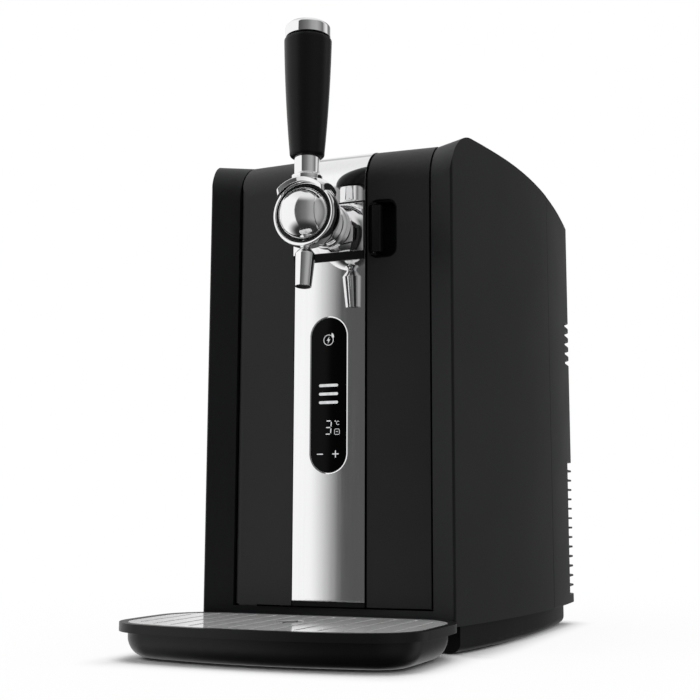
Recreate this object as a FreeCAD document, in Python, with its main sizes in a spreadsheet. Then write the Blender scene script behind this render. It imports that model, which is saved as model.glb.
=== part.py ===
import FreeCAD, Part
import Sketcher
import math
import os
from FreeCAD import Placement, Rotation, Vector

# A table-top dispenser for slim kegs: a bulged housing with a hinged front door, a tap on
# the door, a lever above the tap, and a drip tray on two tongues in front of the base.
# X is to the right, Y to the back, Z up. The origin is under the middle of the whole object.
# Depths are counted from the front edge of the housing, heights from the table.

doc = FreeCAD.newDocument("kegDispenser")
sizesSheet = doc.addObject("Spreadsheet::Sheet", "Sizes")
placesSheet = doc.addObject("Spreadsheet::Sheet", "Places")
rowOf = {"Sizes": 0, "Places": 0}
nodes = {}


# ---------------------------------------------------------------- sizes with their formulas

class Size:
    # A number together with the sheet formula that gives it.
    def __init__(self, value, text):
        self.value = float(value)
        self.text = text

    def __add__(self, other):
        return joined(self, "+", other)

    def __radd__(self, other):
        return joined(other, "+", self)

    def __sub__(self, other):
        return joined(self, "-", other)

    def __rsub__(self, other):
        return joined(other, "-", self)

    def __mul__(self, other):
        return joined(self, "*", other)

    def __rmul__(self, other):
        return joined(other, "*", self)

    def __truediv__(self, other):
        return joined(self, "/", other)

    def __neg__(self):
        return joined(0, "-", self)

    def __float__(self):
        return self.value


def asSize(item):
    return item if isinstance(item, Size) else Size(item, repr(float(item)))


def joined(first, sign, second):
    first = asSize(first)
    second = asSize(second)
    results = {
        "+": first.value + second.value,
        "-": first.value - second.value,
        "*": first.value * second.value,
        "/": first.value / second.value if second.value else 0.0,
    }
    return Size(results[sign], f"({first.text} {sign} {second.text})")


def root(item):
    return Size(math.sqrt(item.value), f"sqrt({item.text})")


def writeCell(sheet, name, content, note):
    rowOf[sheet.Name] += 1
    row = rowOf[sheet.Name]
    sheet.set(f"A{row}", name)
    sheet.set(f"B{row}", content)
    sheet.setAlias(f"B{row}", name)
    sheet.set(f"C{row}", note)


def size(name, value, note):
    writeCell(sizesSheet, name, str(value), note)
    return Size(value, f"Sizes.{name}")


def place(name, formula, note):
    writeCell(placesSheet, name, "=" + formula.text, note)
    return Size(formula.value, f"Places.{name}")


# Overall
overallDepth = size("overallDepth", 444, "front of the tray to the back of the housing")
overallHeight = size("overallHeight", 497, "table to the top of the lever cap")
bodyWidth = size("bodyWidth", 266, "housing at its widest")
bodyDepth = size("bodyDepth", 308, "housing without the tray")
bodyTop = size("bodyTop", 407.8, "highest line of the housing")
bodyFloor = size("bodyFloor", 20.7, "lower edge of the housing")
frontWidth = size("frontWidth", 216.4, "housing across its front edges")
widestDepth = size("widestDepth", 223, "depth at which the sides bulge most")
seamDepth = size("seamDepth", 208, "seam between the front and the rear housing")
seamGap = size("seamGap", 0.3, "gap at the seam")
shellWall = size("shellWall", 2.6, "wall of the housing")
cornerRound = size("cornerRound", 12, "rear upright corners")
edgeRound = size("edgeRound", 1.8, "upright front edges")
backTopRound = size("backTopRound", 13, "rear top corner")
topFlatDepth = size("topFlatDepth", 86, "depth where the top starts to fall")
backDrop = size("backDrop", 16.3, "fall of the top at the back")
frontTopRadius = size("frontTopRadius", 36, "radius over the top of the sloping front faces")
wingWidth = size("wingWidth", 21.3, "sloping front face beside the door")
wingSlope = size("wingSlope", 12.2, "how far that face slopes back")

# Base
baseWidth = size("baseWidth", 254, "base at its widest")
baseFrontWidth = size("baseFrontWidth", 218, "base across its front corners")
baseWidestDepth = size("baseWidestDepth", 190, "depth at which the base is widest")
baseFront = size("baseFront", 10, "front face of the base")
baseInset = size("baseInset", 6.5, "base before the housing's back")
baseRound = size("baseRound", 7, "rounded lower edge of the base")
baseWall = size("baseWall", 3, "wall of the base")
deckHeight = size("deckHeight", 26, "top of the deck inside the housing")
baseBottom = size("baseBottom", 0.8, "underside of the base's wall")
footRadius = size("footRadius", 9, "rubber foot")
footHeight = size("footHeight", 3, "height of a rubber foot")
footInset = size("footInset", 34, "foot centres from the front and the back")
footSpread = size("footSpread", 84, "foot centres from the middle")
fitGap = size("fitGap", 0.3, "gap between seated pieces")

# Door
doorGap = size("doorGap", 1.4, "slit round the door")
doorBottom = size("doorBottom", 32.3, "lower edge of the door")
doorBackDepth = size("doorBackDepth", 44, "rear edge of the part over the top")
doorTurn = size("doorTurn", 36, "radius over the top")
panelSkin = size("panelSkin", 2.5, "skin of the two black panels")
panelInnerDepth = size("panelInnerDepth", 9.4, "panels beside the strip")
stripWidth = size("stripWidth", 62.6, "steel strip")
stripDepth = size("stripDepth", 7.9, "front of the strip")
stripSkin = size("stripSkin", 1.5, "steel of the strip")
stripBottom = size("stripBottom", 36.3, "lower edge of the strip")
stripSideGap = size("stripSideGap", 1.4, "dark gap beside the strip")
toeRecess = size("toeRecess", 0.6, "black toe under the strip behind its face")
hingeInset = size("hingeInset", 5, "hinge axis from the two faces of the door's corner")
hingePinRadius = size("hingePinRadius", 2, "hinge pins")
runGap = size("runGap", 0.05, "radial running gap of pins and shafts")
panFrontDepth = size("panFrontDepth", 15, "front of the door's inner pan")
panBackDepth = size("panBackDepth", 33.6, "back of the pan")
linerThick = size("linerThick", 2.4, "inner cover of the door")
panWall = size("panWall", 2.3, "wall of the pan")
panTop = size("panTop", 372.5, "top of the pan")
panGap = size("panGap", 2, "pan above the door's lower edge")
panSide = size("panSide", 0.5, "pan inside the door's outline")
hingePost = size("hingePost", 9, "solid strip of the pan round the hinge pins")
gasketThick = size("gasketThick", 2.6, "depth of the gasket")
gasketWidth = size("gasketWidth", 3.6, "width of the gasket")

# Keg chamber
flangeDepth = size("flangeDepth", 39, "face that the gasket meets")
flangeThick = size("flangeThick", 3, "flange round the opening")
flangeDrop = size("flangeDrop", 6, "top of the flange under the housing's top")
chamberRadius = size("chamberRadius", 79, "half the width of the chamber")
chamberCentre = size("chamberCentre", 130, "depth of the chamber's round back")
chamberFloor = size("chamberFloor", 59, "floor of the chamber")
chamberTop = size("chamberTop", 365, "ceiling of the chamber")
chamberWall = size("chamberWall", 2.5, "wall of the chamber")
foamHalfWidth = size("foamHalfWidth", 100, "half the width of the insulation")
foamFront = size("foamFront", 46, "front of the insulation")
foamTop = size("foamTop", 389, "top of the insulation")

# Tap and lever
tapDepth = size("tapDepth", -36.8, "tap centre before the housing's front edge")
tapHeight = size("tapHeight", 338.7, "tap centre")
tapRadius = size("tapRadius", 27, "ball-shaped tap housing")
tapFaceOffset = size("tapFaceOffset", 6.2, "flat ring of the tap before its centre")
ballRadius = size("ballRadius", 21, "polished ball in the tap")
ballGap = size("ballGap", 2.2, "dark gap round the ball")
trunnionRadius = size("trunnionRadius", 3, "trunnions on which the ball turns")
trunnionLength = size("trunnionLength", 4.2, "trunnions outside the ball")
neckPinRadius = size("neckPinRadius", 4, "pin between the lever's stem and the ball")
neckPinLength = size("neckPinLength", 8, "that pin inside the ball")
neckFrontRadius = size("neckFrontRadius", 13.5, "neck at the tap")
neckBackRadius = size("neckBackRadius", 18.5, "neck at the band plate")
shankRadius = size("shankRadius", 7, "threaded tube through the door")
shankBore = size("shankBore", 3.5, "bore of the tube")
spoutRadius = size("spoutRadius", 6.5, "spout, outside")
spoutBore = size("spoutBore", 4.6, "spout, bore")
spoutTip = size("spoutTip", 280, "open end of the spout")
spoutLean = size("spoutLean", 7, "degrees that the spout leans forward")
saddleGap = size("saddleGap", 0.35, "gap between the tap and the lever's saddle")
saddleThick = size("saddleThick", 3.3, "shell of the saddle")
saddleHalfWidth = size("saddleHalfWidth", 23.5, "half the width of the saddle")
saddleHalfDepth = size("saddleHalfDepth", 15, "half the depth of the saddle")
stemRadius = size("stemRadius", 10, "stem of the lever")
stubRadius = size("stubRadius", 6, "end of the stem inside the grip")
stubLength = size("stubLength", 42, "length of that end")
stemLength = size("stemLength", 19.3, "stem between the tap housing and the grip")
gripNeckRadius = size("gripNeckRadius", 14, "grip near its lower end")
gripTopRadius = size("gripTopRadius", 19.2, "grip at its top")
gripSwell = size("gripSwell", 1450, "outward curve of the grip's side")
capRadius = size("capRadius", 18.3, "chrome cap")
capHeight = size("capHeight", 12, "height of the cap's side")
capRound = size("capRound", 4.5, "rounded edge of the cap")
collarRadius = size("collarRadius", 17, "dark collar under the cap")
collarHeight = size("collarHeight", 2, "height of the collar")
gripRound = size("gripRound", 4, "rounded lower end of the grip")
gripEdge = size("gripEdge", 1, "rounded upper edge of the grip")

# Band plate, recess and release grip
bandFront = size("bandFront", 3.9, "front of the band plate")
bandSkin = size("bandSkin", 1.5, "steel of the band plate")
bandLow = size("bandLow", 316.2, "lower edge of the band plate")
bandHigh = size("bandHigh", 356.3, "upper edge of the band plate")
ledgeDrop = size("ledgeDrop", 6.2, "black ledge below the band plate")
seamRise = size("seamRise", 2.3, "black seam above the band plate")
recessLeft = size("recessLeft", 33.6, "recess, inner side")
recessRight = size("recessRight", 58, "recess, outer side")
recessRound = size("recessRound", 8, "corners of the recess")
recessBack = size("recessBack", 30, "bottom of the recess")
recessWall = size("recessWall", 1.5, "wall of the recess")
releaseLeft = size("releaseLeft", 36.4, "release grip, inner side")
releaseRight = size("releaseRight", 45, "release grip, outer side")
releaseFront = size("releaseFront", 7.6, "release grip, front")
releaseThick = size("releaseThick", 6.2, "release grip, depth")
releaseMargin = size("releaseMargin", 5, "release grip's ends inside the recess")
releaseRound = size("releaseRound", 2, "rounded edges of the release grip")
releasePinInset = size("releasePinInset", 2.2, "pin from the release grip's inner side")
cupFront = size("cupFront", 12.6, "front edge of the recess's cup")
releasePinRadius = size("releasePinRadius", 1.2, "pin of the release grip")

# Display
displayLow = size("displayLow", 136.1, "lower end of the display's rim")
displayHigh = size("displayHigh", 264.4, "upper end of the display's rim")
displayHalf = size("displayHalf", 16.9, "half the width of the rim")
rimWidth = size("rimWidth", 1.1, "width of the rim")
rimProud = size("rimProud", 0.7, "rim before the strip")
windowThick = size("windowThick", 2.4, "window behind the strip's face")
screenHalf = size("screenHalf", 13, "half the width of the display's board")
screenEnd = size("screenEnd", 16, "display's board from the rim's ends")

# Drip tray
trayTop = size("trayTop", 26.6, "top of the tray's rim")
rimHeight = size("rimHeight", 6.4, "face of the rim")
trayHalf = size("trayHalf", 122, "half the width of the tray")
traySideRadius = size("traySideRadius", 600, "curve of the tray's sides")
trayWidest = size("trayWidest", 59, "where the tray is widest, before the housing")
trayBowRadius = size("trayBowRadius", 400, "curve of the tray's front")
trayCorner = size("trayCorner", 40, "front corners of the tray")
trayBackCorner = size("trayBackCorner", 42, "rear corners of the tray")
trayClear = size("trayClear", 1, "tray before the housing's front edge")
bowlInset = size("bowlInset", 6.5, "bowl inside the rim's outline")
bowlBottom = size("bowlBottom", 0.8, "underside of the bowl")
bowlRound = size("bowlRound", 15.5, "rounded underside of the bowl")
trayWall = size("trayWall", 2.4, "wall of the bowl")
gridThick = size("gridThick", 1.6, "steel of the grid")
gridInset = size("gridInset", 6.5, "grid inside the rim's outline")
slotPitch = size("slotPitch", 16.8, "pitch of the grid's slots")
slotWidth = size("slotWidth", 2.6, "width of a slot")
slotMargin = size("slotMargin", 9, "slot ends from the grid's edge")
fingerRadius = size("fingerRadius", 10, "finger hole of the grid")
fingerDepth = size("fingerDepth", 58, "finger hole before the housing")
tongueWidth = size("tongueWidth", 26, "tongues that carry the tray")
tongueHeight = size("tongueHeight", 6, "height of a tongue")
tongueReach = size("tongueReach", 34, "tongues before the base")
tongueSpread = size("tongueSpread", 62, "tongue centres from the middle")
tongueRise = size("tongueRise", 6, "underside of the tongues over the bowl's underside")
sleeveWall = size("sleeveWall", 2.5, "wall of the tray's sleeves round the tongues")

# Cooling and electrics
coolerHeight = size("coolerHeight", 262, "axis of the fan")
padThick = size("padThick", 3.5, "flat pad behind the chamber")
coldHalf = size("coldHalf", 24, "half the side of the cold plate")
coldThick = size("coldThick", 7, "cold plate")
padHalf = size("padHalf", 27, "half the side of the flat pad")
peltierHalf = size("peltierHalf", 20, "half the side of the cooling module")
peltierThick = size("peltierThick", 3.9, "cooling module")
sinkHalf = size("sinkHalf", 46, "half the side of the heat sink")
sinkPlate = size("sinkPlate", 6, "heat sink's plate")
finHeight = size("finHeight", 28, "heat sink's fins")
finThick = size("finThick", 2, "one fin")
finPitch = size("finPitch", 8.2, "pitch of the fins")
fanHalf = size("fanHalf", 46, "half the side of the fan's frame")
fanDepth = size("fanDepth", 25, "depth of the fan's frame")
fanBore = size("fanBore", 43.5, "bore of the fan's frame")
bladeRadius = size("bladeRadius", 42, "tips of the fan's blades")
hubRadius = size("hubRadius", 16, "hub of the fan")
fanShaftRadius = size("fanShaftRadius", 1.6, "shaft of the fan")
louvrePitch = size("louvrePitch", 9.12, "pitch of the lower louvres")
louvreSlot = size("louvreSlot", 7.3, "height of a lower louvre slot")
upperPitch = size("upperPitch", 9.3, "pitch of the upper louvres")
upperSlot = size("upperSlot", 5, "height of an upper louvre slot")
louvreWrap = size("louvreWrap", 30, "how far the slots run round the corners")
lowerLouvreLow = size("lowerLouvreLow", 29, "lowest louvre slot")
upperLouvreLow = size("upperLouvreLow", 251.4, "lowest slot of the upper group")
inletHalfWidth = size("inletHalfWidth", 15, "half the width of the mains inlet")
inletLow = size("inletLow", 46, "lower edge of the mains inlet")
inletHeight = size("inletHeight", 22, "height of the mains inlet")
inletOffset = size("inletOffset", -72, "mains inlet from the middle")
inletDepth = size("inletDepth", 24, "depth of the mains inlet")
inletWall = size("inletWall", 3, "wall of the mains inlet")
motorThick = size("motorThick", 3, "fan's motor and struts")
strutHalf = size("strutHalf", 2, "half the width of a fan strut")
rotorGap = size("rotorGap", 5, "impeller behind the fan's front")
bladeRoot = size("bladeRoot", 2, "half the thickness of a blade at the hub")
bladeSweep = size("bladeSweep", 10, "sweep of a blade's tip")
bladeTip = size("bladeTip", 3, "thickness of a blade's tip")
electricsBack = size("electricsBack", 16, "power supply and pump from the back")
supplySide = size("supplySide", 25, "power supply from the widest line")
supplyWidth = size("supplyWidth", 74, "power supply")
supplyDeep = size("supplyDeep", 48, "power supply")
supplyHeight = size("supplyHeight", 16, "power supply's case")
coilWidth = size("coilWidth", 22, "transformer on the case")
coilDeep = size("coilDeep", 32, "transformer on the case")
coilHeight = size("coilHeight", 28, "transformer on the case")
pumpSide = size("pumpSide", 41, "air pump from the widest line")
pumpWidth = size("pumpWidth", 62, "air pump with its foot")
pumpDeep = size("pumpDeep", 44, "air pump's foot")
pumpFootThick = size("pumpFootThick", 4, "air pump's foot")
pumpRadius = size("pumpRadius", 18, "air pump's motor")
pumpHeadWidth = size("pumpHeadWidth", 18, "air pump's head")
pumpSink = size("pumpSink", 1.5, "motor sunk into the foot, and head beyond the motor's sides")
nozzleRadius = size("nozzleRadius", 3, "air pump's nozzle")
nozzleLength = size("nozzleLength", 10, "air pump's nozzle")
boardHalfWidth = size("boardHalfWidth", 50, "half the width of the control board")
boardHalfDeep = size("boardHalfDeep", 35, "half the depth of the control board")
boardThick = size("boardThick", 1.6, "circuit boards")
postHeight = size("postHeight", 5, "posts under the control board")
postRadius = size("postRadius", 3, "posts under the control board")
postInset = size("postInset", 6, "posts from the board's edges")
boardBack = size("boardBack", 25, "control board behind the chamber's centre")

# Inside the chamber
seatGap = size("seatGap", 3, "keg seat from the chamber's wall")
seatThick = size("seatThick", 4, "plate of the keg seat")
seatRing = size("seatRing", 4, "height of the seat's ring")
seatRingWidth = size("seatRingWidth", 3, "width of the seat's ring")
couplerRadius = size("couplerRadius", 15, "keg coupler")
couplerHeight = size("couplerHeight", 16, "keg coupler")
noseRadius = size("noseRadius", 7, "nose of the coupler")
noseLength = size("noseLength", 12, "nose of the coupler")
noseBore = size("noseBore", 2.5, "bore of the coupler")
nutRadius = size("nutRadius", 11, "nut behind the door, over its corners")
nutThick = size("nutThick", 6, "nut behind the door")
tubeEnd = size("tubeEnd", 2, "tube behind the nut")
hingeWidth = size("hingeWidth", 14, "hinge brackets")
hingePlate = size("hingePlate", 3, "plate of the upper bracket")
hingePinLength = size("hingePinLength", 11, "pins inside the door")
earThick = size("earThick", 2, "ears that hold the release grip's pin")
earHalf = size("earHalf", 2.5, "half the depth of an ear before the pin")

LOWER_SLOTS = 14
UPPER_SLOTS = 5
FINS = 11
BLADES = 7
SLOTS_EACH_SIDE = 6

doc.recompute()

# Places that follow from the sizes
trayReach = overallDepth - bodyDepth
frontY = place("frontY", trayReach - overallDepth / 2, "front edge of the housing")
backY = place("backY", overallDepth / 2, "back of the housing")
bulge = (bodyWidth - frontWidth) / 2
sideRadius = place("sideRadius", (bulge * bulge + widestDepth * widestDepth) / (2 * bulge),
                   "plan radius of the housing's sides")
sideCentre = place("sideCentre", bodyWidth / 2 - sideRadius, "centre of the right side's arc")
baseBulge = (baseWidth - baseFrontWidth) / 2
baseRun = baseWidestDepth - baseFront
baseRadius = place("baseRadius", (baseBulge * baseBulge + baseRun * baseRun) / (2 * baseBulge),
                   "plan radius of the base's sides")
baseCentre = place("baseCentre", baseWidth / 2 - baseRadius, "centre of the base's right side")
seamX = place("seamX", frontWidth / 2 - wingWidth, "seam beside the door")
doorEdge = place("doorEdge", seamX - doorGap, "edge of the door")
hingeX = place("hingeX", hingeInset - doorEdge, "hinge axis")
hingeDepth = place("hingeDepth", wingSlope + hingeInset, "hinge axis")
doorReach = place("doorReach", doorEdge - hingeX, "edge of the door from the hinge axis")
padBack = chamberCentre + chamberRadius + chamberWall + padThick
foamBack = place("foamBack", padBack + coldThick + peltierThick, "depth of the heat sink's face")
stripHalf = stripWidth / 2
gripBottom = place("gripBottom", tapHeight + tapRadius + stemLength, "lower end of the grip")
gripTop = place("gripTop", overallHeight - capHeight - collarHeight, "upper end of the grip")
flangeEdge = seamX - fitGap


def depth(item):
    return frontY + item


# ---------------------------------------------------------------- building blocks

def tie(obj, **formulas):
    paths = {"x": "Placement.Base.x", "y": "Placement.Base.y", "z": "Placement.Base.z"}
    for key, item in formulas.items():
        obj.setExpression(paths.get(key, key), asSize(item).text)
    return obj


def box(name, x, y, z):
    obj = doc.addObject("Part::Box", name)
    return tie(obj, Length=x[1] - x[0], Width=y[1] - y[0], Height=z[1] - z[0], x=x[0], y=y[0], z=z[0])


TURNS = {
    "Z": Rotation(),
    "Y": Rotation(Vector(1, 0, 0), -90),
    "X": Rotation(Vector(0, 1, 0), 90),
}


def cylinder(name, radius, length, start, axis="Z"):
    obj = doc.addObject("Part::Cylinder", name)
    obj.Placement = Placement(Vector(), TURNS[axis])
    return tie(obj, Radius=radius, Height=length, x=start[0], y=start[1], z=start[2])


def cone(name, firstRadius, lastRadius, length, start, axis="Z"):
    obj = doc.addObject("Part::Cone", name)
    obj.Placement = Placement(Vector(), TURNS[axis])
    return tie(obj, Radius1=firstRadius, Radius2=lastRadius, Height=length,
               x=start[0], y=start[1], z=start[2])


def sphere(name, radius, centre):
    obj = doc.addObject("Part::Sphere", name)
    return tie(obj, Radius=radius, x=centre[0], y=centre[1], z=centre[2])


def fuse(name, pieces):
    obj = doc.addObject("Part::MultiFuse", name)
    obj.Shapes = pieces
    return obj


def common(name, pieces):
    obj = doc.addObject("Part::MultiCommon", name)
    obj.Shapes = pieces
    return obj


def cut(name, base, tools):
    obj = doc.addObject("Part::Cut", name)
    obj.Base = base
    obj.Tool = tools[0] if len(tools) == 1 else fuse(name + "Tools", tools)
    return obj


def mirrored(name, source):
    obj = doc.addObject("Part::Mirroring", name)
    obj.Source = source
    obj.Normal = Vector(1, 0, 0)
    return obj


def rounded(name, base, radius, wanted):
    doc.recompute()
    obj = doc.addObject("Part::Fillet", name)
    obj.Base = base
    edges = base.Shape.Edges
    chosen = [number for number, edge in enumerate(edges, 1) if wanted(edge)]
    obj.Edges = [(number, float(radius), float(radius)) for number in chosen]
    return obj


def upright(edge):
    box3 = edge.BoundBox
    return box3.ZLength > 1 and box3.XLength < 0.01 and box3.YLength < 0.01


def outline(sketch, points):
    # Each point is (u, v) for a straight line from the point before it, or
    # (u, v, radius, turn) for an arc, where turn is 1 anticlockwise and -1 clockwise.
    count = len(points)
    for index in range(count):
        start = points[index - 1]
        end = points[index]
        a = Vector(float(start[0]), float(start[1]), 0)
        b = Vector(float(end[0]), float(end[1]), 0)
        if len(end) == 2:
            sketch.addGeometry(Part.LineSegment(a, b), False)
            continue
        radius = float(end[2])
        half = (b - a).Length / 2
        across = Vector(a.y - b.y, b.x - a.x, 0).normalize()
        centre = (a + b) * 0.5 + across * math.sqrt(max(radius * radius - half * half, 0)) * end[3]
        first, last = (a, b) if end[3] > 0 else (b, a)
        arc = Part.ArcOfCircle(Part.Circle(centre, Vector(0, 0, 1), radius),
                               math.atan2(first.y - centre.y, first.x - centre.x),
                               math.atan2(last.y - centre.y, last.x - centre.x))
        sketch.addGeometry(arc, False)
    for index in range(count):
        end = points[index]
        following = points[(index + 1) % count]
        endPoint = 2 if len(end) == 2 or end[3] > 0 else 1
        startPoint = 1 if len(following) == 2 or following[3] > 0 else 2
        sketch.addConstraint(Sketcher.Constraint("Coincident", index, endPoint,
                                                 (index + 1) % count, startPoint))
        for kind, item in (("DistanceX", end[0]), ("DistanceY", end[1])):
            item = asSize(item)
            number = sketch.addConstraint(Sketcher.Constraint(kind, -1, 1, index, endPoint, item.value))
            sketch.setExpression(f"Constraints[{number}]", item.text)
        if len(end) == 4:
            number = sketch.addConstraint(Sketcher.Constraint("Radius", index, asSize(end[2]).value))
            sketch.setExpression(f"Constraints[{number}]", asSize(end[2]).text)
    return sketch


PLANES = {
    "XY": Rotation(),
    "XZ": Rotation(Vector(1, 0, 0), 90),
    "YZ": Rotation(Vector(1, 1, 1), 120),
}
NORMALS = {"XY": Vector(0, 0, 1), "XZ": Vector(0, 1, 0), "YZ": Vector(1, 0, 0)}


def extruded(name, plane, points, start, end, direction=None):
    # A closed outline in one plane, pushed from start to end along that plane's axis.
    sketch = doc.addObject("Sketcher::SketchObject", name + "Outline")
    sketch.Placement = Placement(Vector(), PLANES[plane])
    axis = {"XY": "z", "XZ": "y", "YZ": "x"}[plane]
    tie(sketch, **{axis: start})
    outline(sketch, points)
    obj = doc.addObject("Part::Extrusion", name)
    obj.Base = sketch
    obj.DirMode = "Custom"
    obj.Dir = direction or NORMALS[plane]
    obj.Solid = True
    return tie(obj, LengthFwd=end - start)


def turned(name, points, centre):
    # A closed half outline (radius, height) turned about an upright axis.
    body = doc.addObject("PartDesign::Body", name)
    sketch = body.newObject("Sketcher::SketchObject", name + "Outline")
    sketch.AttachmentSupport = (originPlane(body, "XZ_Plane"), [""])
    sketch.MapMode = "FlatFace"
    outline(sketch, points)
    feature = body.newObject("PartDesign::Revolution", name + "Turn")
    feature.Profile = sketch
    feature.ReferenceAxis = (sketch, ["V_Axis"])
    feature.Angle = 360
    tie(body, x=centre[0], y=centre[1], z=centre[2])
    return body


def originPlane(body, role):
    return next(item for item in body.Origin.OriginFeatures if item.Role == role)


def bodySketch(body, name, points=None, circle=None, height=0):
    # A sketch on the body's XY plane, lifted to a height.
    sketch = body.newObject("Sketcher::SketchObject", name)
    sketch.AttachmentSupport = (originPlane(body, "XY_Plane"), [""])
    sketch.MapMode = "FlatFace"
    sketch.setExpression("AttachmentOffset.Base.z", asSize(height).text)
    if points:
        outline(sketch, points)
    if circle:
        radius, u, v = [asSize(item) for item in circle]
        sketch.addGeometry(Part.Circle(Vector(u.value, v.value, 0), Vector(0, 0, 1), radius.value), False)
        for kind, item, at in (("Radius", radius, None), ("DistanceX", u, 3), ("DistanceY", v, 3)):
            if at is None:
                number = sketch.addConstraint(Sketcher.Constraint(kind, 0, item.value))
            else:
                number = sketch.addConstraint(Sketcher.Constraint(kind, -1, 1, 0, at, item.value))
            sketch.setExpression(f"Constraints[{number}]", item.text)
    return sketch


def pad(body, sketch, length):
    feature = body.newObject("PartDesign::Pad", sketch.Name + "Pad")
    feature.Profile = sketch
    tie(feature, Length=length)
    return feature


def pocket(body, sketch, length, upward=True):
    feature = body.newObject("PartDesign::Pocket", sketch.Name + "Pocket")
    feature.Profile = sketch
    feature.Reversed = upward
    tie(feature, Length=length)
    return feature


def rectangle(x, y):
    return [(x[1], y[0]), (x[1], y[1]), (x[0], y[1]), (x[0], y[0])]


def capsule(name, half, low, high, start, end):
    # An upright slot shape with round ends, facing the front.
    return fuse(name, [
        box(name + "Middle", (-half, half), (start, end), (low + half, high - half)),
        cylinder(name + "Low", half, end - start, (0, start, low + half), "Y"),
        cylinder(name + "High", half, end - start, (0, start, high - half), "Y"),
    ])


def node(name, obj):
    obj.Label = name
    nodes[name] = obj
    return obj


# ---------------------------------------------------------------- housing

def envelope(name, inset, low):
    # The housing's outer form, or its hollow when inset by the wall: two bulged sides, a front
    # that is notched between the wings, the profile of the top and the rounding over the wings.
    high = bodyTop + 20
    right = cylinder(name + "Right", sideRadius - inset, high - low, (sideCentre, depth(widestDepth), low))
    left = cylinder(name + "Left", sideRadius - inset, high - low, (-sideCentre, depth(widestDepth), low))
    span = box(name + "Span", (-bodyWidth, bodyWidth), (depth(inset), depth(bodyDepth - inset)), (low, high))
    notch = extruded(name + "Notch", "XY", [
        (frontWidth / 2, depth(inset - 20)),
        (frontWidth / 2, depth(inset)),
        (seamX, depth(inset + wingSlope)),
        (-seamX, depth(inset + wingSlope)),
        (-frontWidth / 2, depth(inset)),
        (-frontWidth / 2, depth(inset - 20)),
    ], low - 1, high + 1)
    plan = cut(name + "Plan", common(name + "Sides", [right, left, span]), [notch])
    rear = rounded(name + "Rear", plan, cornerRound - inset,
                   lambda edge: upright(edge) and edge.BoundBox.YMin > float(depth(bodyDepth - 10)))
    front = rounded(name + "Front", rear, edgeRound,
                    lambda edge: upright(edge) and edge.BoundBox.YMin < float(depth(inset + wingSlope / 2)))
    top = bodyTop - inset
    slopeRun = bodyDepth - backTopRound - topFlatDepth
    slopeRadius = (slopeRun * slopeRun + backDrop * backDrop) / (2 * backDrop)
    profile = extruded(name + "Profile", "YZ", [
        (depth(inset), low),
        (depth(bodyDepth - inset), low),
        (depth(bodyDepth - inset), top - backDrop - backTopRound),
        (depth(bodyDepth - backTopRound), top - backDrop, backTopRound, 1),
        (depth(topFlatDepth), top, slopeRadius, 1),
        (depth(inset), top),
    ], -bodyWidth, bodyWidth)
    squareTop = common(name + "SquareTop", [front, profile])
    right = topRounding(name + "RoundRight", inset)
    return cut(name, squareTop, [right, mirrored(name + "RoundLeft", right)])


def topRounding(name, inset):
    # What the rounding over a sloping front face takes off the square top; it runs along that face.
    radius = frontTopRadius - inset
    top = bodyTop - inset
    face = depth(inset + wingSlope)
    slope = math.atan2(float(wingSlope), float(wingWidth))
    return extruded(name, "YZ", [
        (face - frontTopRadius, top - radius),
        (face, top - radius),
        (face + radius, top, radius, -1),
        (face + radius, top + frontTopRadius),
        (face - frontTopRadius, top + frontTopRadius),
    ], seamX, bodyWidth, Vector(math.cos(slope), -math.sin(slope), 0))


def housing():
    outer = envelope("outer", 0, bodyFloor)
    hollow = envelope("hollow", shellWall, bodyFloor - 5)
    doorway = box("doorway", (-seamX, seamX), (depth(-20), depth(doorBackDepth + doorGap)),
                  (doorBottom - doorGap, bodyTop + 5))
    jambBlocks = [box(name, x, (depth(wingSlope + 1), depth(foamFront)), (doorBottom - doorGap, bodyTop))
                  for name, x in (("jambRight", (seamX, seamX + shellWall)),
                                  ("jambLeft", (-seamX - shellWall, -seamX)))]
    jambs = common("jambs", [fuse("jambBlocks", jambBlocks), outer])
    shell = cut("shell", outer, [hollow, doorway])
    lined = fuse("shellLined", [shell, jambs])
    frontZone = box("frontZone", (-bodyWidth, bodyWidth), (depth(-50), depth(seamDepth - seamGap / 2)),
                    (0, bodyTop + 20))
    rearZone = box("rearZone", (-bodyWidth, bodyWidth),
                   (depth(seamDepth + seamGap / 2), depth(bodyDepth + 5)), (0, bodyTop + 20))
    node("front_housing", common("frontHousing", [lined, frontZone]))

    back = common("rearShell", [shell, rearZone])
    slots = []
    for index in range(LOWER_SLOTS):
        low = lowerLouvreLow + index * louvrePitch
        slots.append(box(f"lowerSlot{index}", (-bodyWidth, bodyWidth),
                         (depth(bodyDepth - louvreWrap), depth(bodyDepth + 5)), (low, low + louvreSlot)))
    for index in range(UPPER_SLOTS):
        low = upperLouvreLow + index * upperPitch
        slots.append(box(f"upperSlot{index}", (-bodyWidth, bodyWidth),
                         (depth(bodyDepth - louvreWrap), depth(bodyDepth + 5)), (low, low + upperSlot)))
    louvred = cut("rearLouvred", back, slots)
    ribFront = bodyDepth - shellWall - 3
    ribs = [box(f"backRib{index}", (x - 1, x + 1), (depth(ribFront), depth(bodyDepth - shellWall)),
                (deckHeight + fitGap, upperLouvreLow + UPPER_SLOTS * upperPitch))
            for index, x in enumerate((-90, -20, 30, 80))]
    well = box("inletWell", (inletOffset - inletHalfWidth - 3, inletOffset + inletHalfWidth + 3),
               (depth(ribFront), backY), (inletLow - 3, inletLow + inletHeight + 3))
    openingHalf = inletHalfWidth + runGap
    opening = box("inletOpening", (inletOffset - openingHalf, inletOffset + openingHalf),
                  (depth(ribFront - 5), depth(bodyDepth + 5)),
                  (inletLow - runGap, inletLow + inletHeight + runGap))
    node("rear_housing", cut("rearHousing", fuse("rearRibbed", [louvred, well] + ribs), [opening]))


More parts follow.
